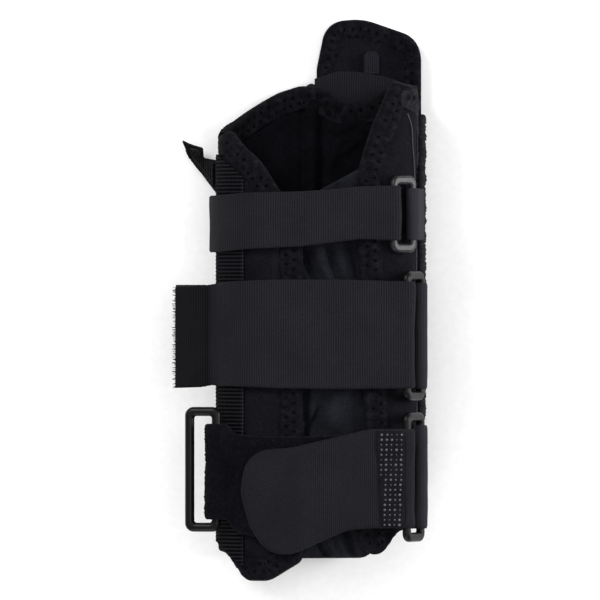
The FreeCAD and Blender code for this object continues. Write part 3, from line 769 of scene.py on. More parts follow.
def s_for_x(path, x, s_low, s_high):
    """Arc length within a stretch of a path where it passes over x."""
    s = np.linspace(s_low, s_high, 400)
    return float(s[np.argmin(np.abs(path.at(s, 0.0)[0] - x))])


def folds(x, y, lines):
    """Soft ridges and creases along (x0, y0, x1, y1, width, height) lines."""
    total = np.zeros_like(np.asarray(x, float))
    for x0, y0, x1, y1, width, height in lines:
        ax, ay = x1 - x0, y1 - y0
        t = np.clip(((x - x0) * ax + (y - y0) * ay) / (ax * ax + ay * ay), 0, 1)
        gone = np.hypot(x - x0 - t * ax, y - y0 - t * ay)
        along = 0.35 + 0.65 * np.sin(np.pi * np.clip(t, 0.06, 0.94))
        total += height * np.exp(-((gone / width) ** 2)) * along
    return total


def bump(x, centre, width):
    """A smooth hump of height 1."""
    return np.exp(-(((x - centre) / width) ** 2))


def stitches(path, line, level, pitch=2.6, gap=0.9, lift=0.25):
    """Separate straight stitches along a line of (s, y) points on a skin at that level."""
    line = np.asarray(line, float)
    run = run_along(line)
    made = []
    for start in np.arange(0, run[-1] - pitch, pitch):
        t = np.linspace(start, start + pitch - gap, 5)
        s, y = (np.interp(t, run, line[:, k]) for k in (0, 1))
        x, z = path.at(s, level + lift * np.array([-0.6, 0.8, 1.0, 0.8, -0.6]))
        made.append(np.stack([x, y, z], 1))
    return made


def straight(low, high):
    """Straight edges for a ribbon."""
    return lambda s: (np.full_like(s, low), np.full_like(s, high))


def by_x(path, xs, lows, highs, from_s=0.0):
    """Edges of a strap given at places along X; before from_s it keeps its last width."""
    def edges(s):
        x = np.where(s < from_s, xs[-1], path.at(s, 0.0)[0])
        return np.interp(x, xs, lows), np.interp(x, xs, highs)
    return edges


def weave_relief(amount, seed):
    """A strap's slow waves, and the slight cup of its width."""
    def relief(s, y, v):
        rise = amount * (wobble(s, y, 26, seed, 2) - 0.25 * np.abs(2 * v - 1) ** 3)
        return rise, rise
    return relief


# ------------------------------------------------------------ sleeve
WRAP = (
    Path(RIGHT, SEAM_Z, 270, 1).arc(LOW_R, -90).line(FLAT_BACK).arc(LOW_R, -90)
    .line(SHOULDER_Z - SEAM_Z).arc(TOP_R, -90).line_to_x(box_mm("left_front_flap")[1][0] + 3.0).done()
)
TRAY = (0.0, LOW_R * math.pi + FLAT_BACK)  # the stretch of the wrap that is the back
FLAP = (TRAY[1] + SHOULDER_Z - SEAM_Z, WRAP.length)
OVER = Path(RIGHT, SEAM_Z, 90, -1).line(SHOULDER_Z - SEAM_Z).arc(TOP_R, 90).line(6.5).done()
LEFT_BAND, RIGHT_BAND = 10.5, 11.5  # widths of the bound edges
SKINS = (0.0, -SKIN)


def tray_s(x):
    return s_for_x(WRAP, x, *TRAY)


def flap_s(x):
    return s_for_x(WRAP, x, *FLAP)


def over_s(x):
    return s_for_x(OVER, x, SHOULDER_Z - SEAM_Z, OVER.length)


WRAP_PLAN = [
    (0, -106, 0),
    (tray_s(33), -106, 10),
    (tray_s(18), -118.5, 10),
    (tray_s(-40), -118, 20),
    (TRAY[1] + 12, -116, 20),
    (flap_s(-43), -117, 12),
    (flap_s(-35), -129.3, 7),
    (flap_s(-23), -129.3, 10),
    (WRAP.length, -120, 5),
    (WRAP.length, 34, 30),
    (flap_s(-27), 64, 30),
    (flap_s(-42.6), 78, 3),
    (TRAY[1] + 7, 75.5, 8),
    (tray_s(-41), 83.5, 8),
    (tray_s(-19), 96.5, 20),
    (tray_s(-9), 99.6, 8),
    (tray_s(2), 99.2, 8),
    (tray_s(9), 92, 8),
    (tray_s(22), 92.5, 15),
    (tray_s(33), 99, 8),
    (0, 100, 0),
]
OVER_PLAN = [
    (0, -105, 0),
    (over_s(37), -106, 12),
    (over_s(27), -120, 8),
    (OVER.length - 1.0, -113, 8),
    (OVER.length - 4.5, -60, 80),
    (OVER.length - 2.5, -10, 80),
    (OVER.length, 56, 60),
    (over_s(23.4), 79, 60),
    (over_s(29.6), 92, 30),
    (over_s(34.6), 101, 3),
    (over_s(41), 99.5, 6),
    (0, 99, 0),
]
LINING_FOLDS = [
    (6, 80, 15, 73, 1.7, -2.2), (13, 84, 24, 78, 2.0, -2.0), (10, 68, 19, 75, 1.5, -1.8),
    (5, 62, 9, 73, 1.6, -1.6), (17, 70, 25, 62, 2.2, -1.8), (9, 76, 18, 80, 1.2, 1.6),
    (11, 60, 20, 52, 3.0, 2.4), (-26, 74, -16, 66, 4.0, -1.2), (-32, 60, -20, 56, 4.0, -1.0),
    (-14, 82, -10, 60, 2.5, 1.0),
]


def wrap_relief(s, y, e, run):
    """Puffed foam inside the binding, and the lining's folds and stay channel in the back."""
    crease = -0.55 * bump(e, LEFT_BAND + 0.4, 0.9)
    puff = 0.35 * wobble(s, y, 38, 3, 2) * smooth(e, 8, 16)
    tray = (s < TRAY[1] - 6).astype(float)
    loose = -1.3 * wobble(s, y * 0.8, 26, 5, 2) * smooth(e, 9, 18) * tray
    x = WRAP.at(s, 0.0)[0]
    channel = -2.4 * bump(x, -3.4, 2.6) + 2.2 * (bump(x, -8.0, 1.3) + bump(x, 1.4, 1.3))
    deep = np.where((s > TRAY[0]) & (s < TRAY[1]), channel, 0.0) * smooth(e, 6, 14)
    deep = deep + folds(x, y, LINING_FOLDS) * tray * smooth(e, 4, 9)
    return crease + puff * 0.6, -crease + 0.25 * puff + 0.45 * loose + deep


def over_relief(s, y, e, run):
    crease = -0.5 * bump(e, RIGHT_BAND + 0.4, 0.8)
    puff = 0.3 * wobble(s, y, 30, 11, 2) * smooth(e, 8, 14)
    return crease + puff, -crease


def band_relief(seed):
    """The binding puckers where each stitch of the zigzag pulls it down."""
    def relief(s, y, e, run):
        lumps = 0.16 * wobble(s, y, 5.0, seed, 2) + 0.2 * wobble(s, y, 13, seed + 1, 1)
        for row, phase in BINDING_ROWS:
            pull = (0.5 + 0.5 * np.sin(2 * math.pi * run / STITCH_PITCH + phase)) ** 3
            lumps = lumps - 0.45 * pull * bump(e, row, 1.0)
        low = smooth(e, 0.2, 1.6)
        return lumps * low, -lumps * low
    return relief


def stay_mouth(foot, stay):
    """Where a side wall's finger end is open, foot being the arc length at the wall's foot."""
    z_low, z_high = (box_mm(stay)[k][2] - SEAM_Z + foot for k in (0, 1))

    def mouth(s, y):
        along = smooth(s, z_low - 2.0, z_low - 0.6) * (1 - smooth(s, z_high + 0.6, z_high + 2.0))
        return along * (y > 60)
    return mouth


def bind(name, path, corners, bound, width, skins, body, nodes, seed, fold=True, mouth=None):
    """Elastic edge tape folded over a padded edge, and the zigzag that holds it."""
    outer, inner = skins
    over = (outer + 0.4, inner - 0.4)
    tape = pad(name, path, corners, over, (edge_tape,), 1.0, band_relief(seed), 1.7, bound, width, mouth)
    settle(tape, body, nodes, fold)
    line = bound_line(resampled(rounded(corners, 1.0), 1.0), bound)
    (first, _), (second, _) = BINDING_ROWS
    rows = []
    for level, lift in ((outer + 0.34, 0.26), (inner - 0.34, -0.26)):
        rows.append(zigzag(path, line, (first + second) / 2, second - first, STITCH_PITCH, lift, level))
    settle(tubes(name + "_thread", rows, 0.1, thread, 4), body, fold=fold)


def wrap_bound(s, y):
    return s > 0.3


def sleeve():
    """Two padded wraps: back, left side and left flap in one, right side and right flap in the other."""
    pieces = (
        ("sleeve", "left", WRAP, WRAP_PLAN, 1.6, wrap_relief, LEFT_BAND, 21, TRAY[1],
         ["back_panel", "back_lining", "left_side_panel", "left_front_flap", "left_flap_lining"],
         ["back_elbow_edge_tape", "back_finger_edge_tape", "left_flap_edge_tape"]),
        ("right", "right", OVER, OVER_PLAN, 1.5, over_relief, RIGHT_BAND, 31, 0.0,
         ["right_side_panel", "right_front_flap", "right_flap_lining"],
         ["right_flap_edge_tape"]),
    )
    for name, side, path, plan, spacing, relief, width, seed, foot, panels, tapes in pieces:
        mouth = stay_mouth(foot, side + "_side_stay")
        cloths = (laminate, lining_knit)
        wrap = pad(name + "_wrap", path, plan, SKINS, cloths, spacing, relief, 2.4, mouth=mouth)
        settle(wrap, side + "_flap", panels, fold=True)
        tape = name + "_binding"
        bind(tape, path, plan, wrap_bound, width, SKINS, side + "_flap", tapes, seed, mouth=mouth)


def side_seams():
    """Two rows of stitches along each side, above and below the pocket of its stay."""
    for side, path, foot, y_low, y_high in (("left", WRAP, TRAY[1], -104, 64), ("right", OVER, 0.0, -93, 87)):
        rows = []
        for row in (1.2, 12.6):
            rows += stitches(path, [(foot + row, y_low), (foot + row, y_high)], 0.1, 2.8, 0.8)
        seam = tubes(side + "_side_stitching", rows, 0.2, thread)
        settle(seam, side + "_flap", fold=True)


def piping():
    """A cord along the right shoulder's seam, painted pale as the seam's highlight, and the puckered end of
    the stay's pocket, painted lighter as highlights on its lumps.
    """
    line = np.array([
        (over_s(x), y) for x, y in (
            (39.6, 87), (41.0, 83.5), (42.5, 79), (42.2, 72), (43.2, 64.4), (43.3, 56), (43.8, 38),
            (44.3, 19.7), (44.0, 8), (44.4, -44), (44.4, -100),
        )
    ])
    run = run_along(line)
    t = np.linspace(0, run[-1], 320)
    soft = np.hanning(31) / np.hanning(31).sum()
    rough = (np.pad(np.interp(t, run, line[:, k]), 15, mode="edge") for k in (0, 1))
    s, y = (np.convolve(values, soft, "valid") for values in rough)
    x, z = OVER.at(s, 0.35)
    cord = tubes("right_shoulder_piping", [np.stack([x, y, z], 1)], 0.34, piping_painted_highlight, 7)
    settle(cord, "right_flap", fold=True)

    def lumps(s, y, e, run):
        return 0.6 * smooth(e, 0, 5) * (0.6 + 0.5 * wobble(s, y, 6.0, 45, 3)), 0.0

    low, high = over_s(45.0) - 9, over_s(36.8)
    corners = [
        (low, 60, 4), (over_s(46.4), 61, 4), (over_s(44.6), 84, 5),
        (high, 89, 4), (high, 98, 4), (low, 97, 4),
    ]
    # Its tape is painted lighter, as highlights on the lumps.
    patch = pad("stay_pocket_end", OVER, corners, (0.75, -0.5), (puckered,), 0.6, lumps, 3.0)
    settle(patch, "right_flap", fold=True)


def webbing():
    """Ribbed webbing over the left shoulder, with the cord of its seam."""
    y_end = box_mm("shoulder_webbing")[0][1]
    radius = TOP_R + 0.8
    path = Path(LEFT + TOP_R - radius, SHOULDER_Z - 8, 90, 1).line(8).arc(radius, -62).done()

    def ribs(s, y, v):
        wave = np.abs(np.sin(np.pi * y / RIB))
        beads = 0.5 + 0.5 * np.sin(2 * np.pi * s / BEAD)
        return 0.4 * wave ** 0.4 + 0.06 * beads * wave, np.zeros_like(s)

    def ends(s):
        x = path.at(s, 0.0)[0]
        return y_end - 0.95 * (x + 47), 67.0 - 0.9 * (x + 47)

    web = ribbon("shoulder_webbing_tape", path, ends, 1.0, web_cloth, 60, 860, ribs, 0.8, 0.8)
    settle(web, "left_flap", ["shoulder_webbing"], fold=True)
    y = np.linspace(y_end - 9.0, 55.0, 260)
    x, z = path.at(path.length - 0.4 + 0.15 * wobble(y, y * 0, 14, 8), 0.55)
    cord = tubes("shoulder_seam_cord", [np.stack([x, y, z], 1)], 0.26, seam_cord, 6)
    settle(cord, "left_flap")


# ------------------------------------------------------------ tongue
TONGUE_FOLDS = [
    (-9, 24, 0, 4, 1.6, -3.2), (-3, 26, 6, 4, 2.6, 2.4), (2, 27, 9, 7, 1.3, -2.8), (8, 26, 14, 5, 3.2, 2.2),
    (14, 26, 19, 6, 1.2, -2.4), (-7.6, -63, -0.2, -49, 1.0, -3.2), (-6.5, -36, -6.5, -70, 1.2, -3.0),
    (-3.6, -40, -4.2, -58, 1.5, 2.0), (3, -64, 6, -46, 4.0, 1.8), (12, -66, 14, -36, 6.0, 2.2),
    (26, -43, 22, -58, 1.1, -3.2), (19, -66, 24, -40, 2.2, 1.2), (6, -102, 13, -122, 2.0, 2.2),
    (11, -100, 17, -122, 1.3, -2.8), (-4, -106, 5, -122, 1.4, -2.8), (0, -102, 9, -122, 1.6, 1.8),
    (15, -102, 22, -120, 2.0, 1.8), (4, 60, 15, 42, 2.4, -1.4), (-1, 50, 12, 60, 2.5, 1.0),
    (-4, 0, 12, -30, 3.5, -1.6), (8, 0, 16, -34, 3.0, 1.4),
]


def tongue():
    """A soft sheet from inside the right side, across under both flaps."""
    thick, y_elbow, y_fingers = 1.1, -119.0, 61.0
    low, high = box_mm("tongue")
    path = Path(RIGHT - SKIN, HINGE_Z - 10.0, 96, -1).line(10.0)
    climb = high[2] - 0.6 - path.points[-1][1]
    path.arc(climb / (1 - math.sin(math.radians(6.0))), 84).line_to_x(low[0]).done()
    at = lambda x: s_for_x(path, x, 10, path.length)
    corners = [
        (0, -106, 0), (at(33), -106, 8), (at(21), y_elbow + 0.2, 8), (path.length, y_elbow, 3),
        (path.length, 46, 6), (s_for_x(path, -6, 12, path.length), 47.5, 12),
        (s_for_x(path, 19, 12, path.length), y_fingers, 10), (0, 60, 0),
    ]

    def drape(s, y, e, run):
        x = path.at(s, 0.0)[0]
        rise = folds(x, y, TONGUE_FOLDS) + 0.35 * wobble(x, y, 24, 61, 2)
        rise = rise * smooth(s, 18, 32) * smooth(e, 0, 2)
        rise = np.minimum(rise, 0.2 + 2.6 * smooth(x, -7.5, -3) * (1 - smooth(x, 15, 20))) - 0.3
        return rise, rise

    cloth = pad(
        "tongue_cloth", path, corners, (thick / 2, -thick / 2), (tongue_knit, lining_knit), 0.95, drape, 0.5
    )
    settle(cloth, "sleeve", ["tongue"])


# ------------------------------------------------------------ straps
STRAP, PLAY = 1.6, 0.3  # thickness of a strap, and its room round a ring's bar
HOOK_DROP = STRAP / 2 + 0.35  # from the middle of a strap to the middle of its hook patch
NARROW_BAR, WIDE_BAR = 1.6, 1.9  # radius of the palm ring's bars, and of the wrist and forearm rings'


def strap_path(tail, joint, bar):
    """From the sewn tail and round the ring's inner bar, until it heads left."""
    return Path(*tail, 0, -1).round_bar(pivot(joint), bar + PLAY + STRAP / 2, 180)


def hook_patch(name, path, body):
    """Hook tape under the end of a strap."""
    low, high = box_mm(name)

    def hooks(s, y, v):
        return 0.0, -0.12 * np.abs(np.sin(s * 2.6) * np.sin(y * 2.6))

    count = max(4, int(path.length + 0.001))
    edges = straight(low[1], high[1])
    tape = ribbon(name + "_tape", path, edges, 0.55, hook_tape, count, 30, hooks, 0.5, 0.5)
    settle(tape, body, [name])


def palm_strap():
    """The narrow strap, over the left shoulder."""
    level = box_mm("palm_strap")[1][2] - STRAP / 2
    bend_x, radius, hem = LEFT + TOP_R, level - SHOULDER_Z, 2.0
    path = strap_path((25.6, level - 1.8), "palm_strap_peel", NARROW_BAR)
    path.line_to_x(bend_x).arc(radius, 90).line(hem).done()
    turned = path.length - hem - radius * math.pi / 2 - (37.5 - bend_x)
    xs = [-48, -34, -9, 5, 18, 35]
    lows = [22.0, 23.4, 24.6, 26.2, 28.0, 27.4]
    highs = [48.2, 49.4, 49.9, 50.8, 52.2, 52.6]
    edges = by_x(path, xs, lows, highs, turned)
    relief = weave_relief(0.14, 71)
    strap = ribbon("palm_strap_webbing", path, edges, STRAP, strap_cloth, 190, 40, relief, 0.7, 0.6)
    settle(strap, "palm_strap", ["palm_strap"])
    under = Path(bend_x, level - HOOK_DROP, 180, -1).arc(radius - HOOK_DROP, 90).done()
    hook_patch("palm_strap_hook", under, "palm_strap")


def wrist_strap():
    """A wide strap, its free end standing out at the left with a frayed cut."""
    low, high = box_mm("wrist_strap")
    level = high[2] - STRAP / 2
    path = strap_path((30.5, level - 1.9), "wrist_strap_peel", WIDE_BAR).line_to_x(LEFT + TOP_R)
    path.arc(level - SHOULDER_Z, 57).arc(5.0, -47).line_to_x(low[0] + 0.1).done()
    xs = [-67, -55, -50, -42, -20, 10, 43]
    lows = low[1] + np.array([0.9, 1.3, 2.2, 2.0, 0.9, 0.5, 0.9])
    highs = high[1] + np.array([-2.6, -2.0, -1.3, 0.1, 1.0, 0.9, 0.0])
    edges = by_x(path, xs, lows, highs)
    # The free end beyond its bend gets painted shade: a darker colour, and a darker crease band at the bend.
    cloth = webbing_look("wrist_webbing", STRAP_TONE, painted_shade_from=(path.length - 17.5) * MM, dim=0.62)
    strap = ribbon("wrist_strap_webbing", path, edges, STRAP, cloth, 220, 60, weave_relief(0.2, 72), 0.7, 0.5)
    settle(strap, "wrist_strap", ["wrist_strap"])
    x, z = path.at(path.length, -HOOK_DROP)
    hook_patch("wrist_strap_hook", Path(float(x), float(z), 10, 1).line(14.0).done(), "wrist_strap")
    r = np.random.default_rng(77)
    tip_x, tip_z = path.at(path.length, 0.0)
    t = np.linspace(0, 1, 4)
    fray = []
    for y_at in np.arange(low[1] + 1.2, high[1] - 3.0, 0.42):
        x = tip_x + 0.8 - r.uniform(1.0, 2.4) * t
        y = y_at + r.normal(0, 0.25) * t * 1.3
        z = tip_z + r.uniform(-0.4, 0.5) + r.normal(0, 0.3) * t
        fray.append(np.stack([x, y, z], 1))
    settle(tubes("wrist_strap_fray", fray, 0.12, thread, 4), "wrist_strap")


def forearm_strap():
    """A wide strap with a large round end."""
    low, high = box_mm("forearm_strap")
    level = high[2] - STRAP / 2
    path = strap_path((30.5, level - 1.9), "forearm_strap_peel", WIDE_BAR).line_to_x(low[0] - 1.0).done()
    top = (path.length - (40.0 - low[0] + 1.0), path.length)
    at = lambda x: s_for_x(path, x, *top)
    corners = [
        (0, -104.6, 0),
        (at(22), -105.0, 14),
        (at(13), -105.6, 20),
        (at(-12), -116.7, 14),
        (at(-24), -117.3, 14),
        (at(-32.6), -104, 20),
        (at(-36.9), -88, 18),
        (at(-33.5), -69.2, 13),
        (at(-14), -67.9, 20),
        (at(23), -59.2, 40),
        (0, -59.4, 0),
    ]

    def relief(s, y, e, run):
        dip = -0.5 * bump(path.at(s, 0.0)[0], 14.0, 7.0) * smooth(e, 1, 10)
        rise = 0.22 * wobble(s, y, 34, 73, 2) * smooth(e, 1, 8) + dip * (s > top[0])
        return rise, rise

    half = STRAP / 2
    strap = pad("forearm_strap_webbing", path, corners, (half, -half), (forearm_cloth,), 1.1, relief, 0.6)
    settle(strap, "forearm_strap", ["forearm_strap"])
    low, high = box_mm("forearm_strap_hook")
    under = Path(high[0], (low[2] + high[2]) / 2, 180, -1).line(high[0] - low[0]).done()
    far = under.length
    plan = [(0, -105, 2), (26, -115.2, 14), (far, -102.6, 18), (far, -76, 13), (27, -71.2, 10), (0, -65.5, 2)]
    hooks = pad("forearm_strap_hook_tape", under, plan, (0.28, -0.28), (hook_tape,), 1.4, None, 0.4)
    settle(hooks, "forearm_strap", ["forearm_strap_hook"])


def grip():
    """Rubbery dots printed on a knitted band at the forearm strap's folded end."""
    low, high = box_mm("forearm_grip_patch")
    level, tall = low[2] - 0.06, high[1] - low[1]
    path = Path(low[0] - 2.0, level, 0, 1).line(high[0] - low[0] + 2.4).done()
    corners = [
        (2.8, low[1], 1.2), (path.length, low[1], 1.2), (path.length, high[1], 1.2), (0.3, high[1], 1.2),
    ]
    band = pad("grip_patch_band", path, corners, (0.35, -0.05), (grip_base,), 1.2, None, 0.5)
    settle(band, "forearm_strap", ["forearm_grip_patch"])

    pitch, radius, rings, sides = 2.3, 0.6, 3, 10
    lift = np.repeat(np.arange(rings) / rings * math.pi / 2, sides)
    turn = np.tile(2 * math.pi * np.arange(sides) / sides, rings)
    dome = np.stack([np.cos(lift) * np.cos(turn), np.cos(lift) * np.sin(turn), np.sin(lift)], 1)
    dome = np.vstack([dome, [[0.0, 0.0, 1.0]]])
    last = (rings - 1) * sides
    shell = [tuple(range(sides))[::-1]]
    for k in range(sides):
        n = (k + 1) % sides
        shell += [(a + k, a + n, a + n + sides, a + k + sides) for a in range(0, last, sides)]
        shell.append((last + k, last + n, len(dome) - 1))
    points, faces = [], []
    r = np.random.default_rng(5)
    for row in range(int((tall - 2.4) / pitch) + 1):
        for column in range(5):
            y = high[1] - 1.9 - row * pitch
            x = high[0] - 1.6 - column * pitch + 1.3 * (y - low[1]) / tall - 0.8 + r.normal(0, 0.1)
            if x < low[0] - 0.8 + 2.6 * (high[1] - y) / tall + 0.6:
                continue
            size = radius * r.uniform(0.5, 1.1)
            rise = 0.42 * r.uniform(0.6, 1.1)
            base = len(points) * len(dome)
            points.append(dome * (size, size, rise) + (x, y, level + 0.28))
            faces += [[base + i for i in face] for face in shell]
    points = np.concatenate(points)
    dots = mesh_object("grip_patch_dots", points, faces, [grip_dot], points[:, :2])
    settle(dots, "forearm_strap")


def chape(name, bar, foot_x, y_inset):
    """The doubled band that holds a ring to the right flap."""
    node = name + "_ring_chape"
    low, high = box_mm(node)
    thick = 1.2
    around = bar + PLAY + thick / 2
    centre = np.array(pivot(name + "_ring_swivel"))
    way = centre - (foot_x, HINGE_Z + 2.6)
    reach = float(np.hypot(*way))
    lean = math.degrees(math.asin((around - thick / 2 - 0.05) / reach))
    length = reach * math.cos(math.radians(lean))
    heading = math.degrees(math.atan2(way[1], way[0])) - lean
    h = math.radians(heading)
    along, across = np.array([[math.cos(h), math.sin(h)], [math.sin(h), -math.cos(h)]])
    start = centre + across * around - along * length
    path = Path(*start, heading, -1).line(length).arc(around, 180 + 2 * lean).line(length).done()
    edges = straight(low[1] + y_inset, high[1] - y_inset)
    relief = weave_relief(0.08, 81)
    band = ribbon(node + "_webbing", path, edges, thick * 0.92, chape_cloth_painted_light, 60, 34, relief, 0.6, 0.6)
    settle(band, "right_flap", [node])


def loop_strap():
    """The wide pile strap across the left flap, folded round the cinch ring, and its rolled edges."""
    low, high = box_mm("loop_strap")
    thick, bar, radius = 2.4, 2.1, 30.0
    around = bar + 0.8 + thick / 2
    path = Path(20.5, 61.7 + thick / 2, 180, -1).line_to_x(-26.0)
    x, z = path.points[-1]
    ring = np.array(pivot("cinch_ring_swing"))
    way = ring - (x, z - radius)
    gap = math.degrees(math.acos((radius - around) / float(np.hypot(*way))))
    turn = math.degrees(math.atan2(way[1], way[0])) - gap - 90.0 + 360.0 * (way[1] < 0)
    path.arc(radius, turn).round_bar(ring, around, 350.0).done()
    xs = [-57, -53, -49, -45, -41, -37, -31, -22, -6, 4, 10, 15, 21]
    lows = [
        -99.8, -100.4, -102.4, -104.6, -106.2, -107.0, -108.4, -109.6, -110.0, -108.0, -105.0, -102.0, -100.0,
    ]
    highs = [-57.4, -58.0, -59.2, -60.6, -61.5, -62.0, -62.5, -62.9, -63.0, -62.4, -61.8, -61.2, -61.6]
    widths = by_x(path, xs, lows, highs)
    fold = path.length - 22.0

    def edges(s):
        a, b = widths(s)
        back = smooth(s, fold, fold + 6)
        return a + (low[1] - a) * back, b + (high[1] - b) * back

    def fuzz(s, y, v):
        nap = grainy(s.shape, 91, 0.16) + 0.12 * wobble(s, y, 3.6, 92, 2) + 0.3 * wobble(s, y, 20, 93, 1)
        keep = smooth(np.minimum(v, 1 - v), 0.015, 0.05)
        return nap * keep, 0.2 * nap

    strap = ribbon("loop_strap_pile", path, edges, thick, loop_pile, 230, 110, fuzz, 1.2, 1.2)
    settle(strap, "left_flap", ["loop_strap"])
    s = np.linspace(0, fold, 240)
    x, z = path.at(s, thick / 2 - 0.15)
    rims = [np.stack([x, y + inset, z], 1) for y, inset in zip(edges(s), (0.35, -0.35))]
    settle(tubes("loop_strap_edge_roll", rims, 0.55, laminate_edge, 6), "left_flap")


def side_pile_band():
    """Loop pile down the right side."""
    low, high = box_mm("side_pile_strip")
    out, top = 2.3, HINGE_Z - 5.0  # out is how far the pile stands proud of the side
    path = Path(RIGHT + out, top, 270, 1).line(top - SEAM_Z).arc(LOW_R + out, -38).done()

    def fuzz(s, y, v):
        return grainy(s.shape, 95, 0.22) + 0.35 * wobble(s, y, 6.5, 96, 2), 0.0

    edges = straight(low[1], high[1])
    band = ribbon("side_pile_band", path, edges, 3.6, side_pile, 44, 300, fuzz, 1.4, 1.2)
    settle(band, "sleeve", ["side_pile_strip"])


# ------------------------------------------------------------ hand tab, thumb strap and the back's pocket
TAB_LEVEL = 1.6  # height of the middle of the hand tab where it is flat
CLIMB_X, CLIMB_R = 27.6, 30.0  # where the tab starts to climb the right side, and its radius there
THUMB_RISE = 2.05  # the thumb strap's height above the tab's middle
TAB = Path(-3.0, TAB_LEVEL, 0, 1).line_to_x(CLIMB_X).arc(CLIMB_R, 41).done()


def tab_s(x):
    return s_for_x(TAB, x, 0.0, TAB.length)


TAB_PLAN = [
    (tab_s(-1.4), 72, 4),
    (TAB.length, 72, 3),
    (TAB.length, 121, 14),
    (tab_s(20), 131, 25),
    (tab_s(3), 129.5, 11),
    (tab_s(-1.4), 108, 15),
]


def tab_bound(s, y):
    return y > 73


def hand_tab():
    """The padded tab beyond the finger end, and its pull loop."""
    def relief(s, y, e, run):
        hollow = -0.3 * smooth(e, 7.5, 10.5) + 0.1 * wobble(s, y, 16, 101, 2) * smooth(e, 8, 12)
        return hollow, 0.1 * wobble(s, y, 20, 102, 1)

    core = pad("hand_tab_pad", TAB, TAB_PLAN, (1.35, -1.0), (laminate, lining_knit), 1.3, relief, 2.0)
    settle(core, "sleeve", ["hand_tab"])
    tapes = ["hand_tab_edge_tape"]
    bind("hand_tab_binding", TAB, TAB_PLAN, tab_bound, 8.6, (1.45, -0.8), "sleeve", tapes, 41, fold=False)

    low, high = box_mm("hand_tab_pull")
    path = Path(low[0] - 0.4, low[2] + 0.5, 0, 1).line(high[0] - low[0] + 0.8).done()
    wide, foot = path.length, low[1] - 3
    corners = [(0, foot, 0), (wide, foot, 0), (wide, high[1], 3.0), (0, high[1], 3.0)]

    def ribs(s, y, e, run):
        arch = 0.7 * np.sin(np.clip((y - foot) / 11, 0, 1) * 3.1)
        return 0.16 * np.abs(np.sin(s * math.pi / 1.05)) + arch, 0.0

    loop = pad("pull_loop", path, corners, (0.5, -0.3), (pull_tape,), 0.45, ribs, 0.7)
    settle(loop, "sleeve", ["hand_tab_pull"])


def thumb_strap():
    """The band across the hand tab, and the slanting run under the back."""
    level = TAB_LEVEL + THUMB_RISE
    path = Path(-2.4, level, 0, 1).line_to_x(CLIMB_X).arc(CLIMB_R - THUMB_RISE, 36).done()
    edges = by_x(path, [-3, 8, 18, 30, 45], [84.5] * 5, [102.8, 106.6, 106.3, 104.2, 99.0])
    band = ribbon("thumb_strap_band", path, edges, 1.1, thumb_cloth, 80, 60, weave_relief(0.3, 111), 0.7, 0.5)
    settle(band, "sleeve", ["thumb_strap"])
    flat = Path(-45.0, level, 0, 1).line(44.0).done()
    plan = [(1.0, 49.6, 0), (43.2, 84.5, 0), (43.2, 102.8, 2), (1.0, 73.6, 0)]
    run = pad("thumb_strap_run", flat, plan, (0.5, -0.5), (thumb_cloth,), 1.8, None, 0.5)
    settle(run, "sleeve", ["thumb_strap"])


def thumb_tail():
    """The thumb strap's free end, and the hook tape on it."""
    level, radius, lift = TAB_LEVEL + THUMB_RISE, 14.0, 0.85
    path = Path(-45.0, level, 180, -1).line(3.5).arc(radius, -64).line(7.6).done()
    at = lambda x: s_for_x(path, x, 0, path.length)
    corners = [
        (0, 49.5, 0), (at(-48), 49.5, 2), (at(-55), 58.8, 2), (at(-61), 67.0, 2), (path.length, 74.6, 0.6),
        (at(-54.3), 71.0, 0.8), (at(-54), 66.2, 1.0), (at(-48), 65.2, 2), (0, 65, 0),
    ]

    def curl(s, y, e, run):
        rise = 0.5 * wobble(s, y, 15, 121, 1) * smooth(s, 4, 12)
        return rise, rise

    tail = pad("thumb_strap_tail_webbing", path, corners, (0.55, -0.55), (thumb_cloth,), 0.7, curl, 0.4)
    settle(tail, "thumb_tail", ["thumb_strap_tail"])
    over = Path(-48.5, level + lift, 180, -1).arc(radius - lift, -64).line(6.5).done()
    near = lambda x: s_for_x(over, x, 0, over.length)
    plan = [
        (0.3, 51.5, 0.5), (near(-55), 60.8, 1), (near(-60.4), 67.8, 1), (near(-61.0), 71.0, 0.5),
        (near(-55.6), 69.8, 0.5), (near(-55.2), 65.2, 0.5), (0.3, 64, 0.5),
    ]
    hooks = pad("thumb_tail_hook_tape", over, plan, (0.3, -0.25), (hook_tape,), 0.8, curl, 0.4)
    settle(hooks, "thumb_tail", ["thumb_tail_hook"])


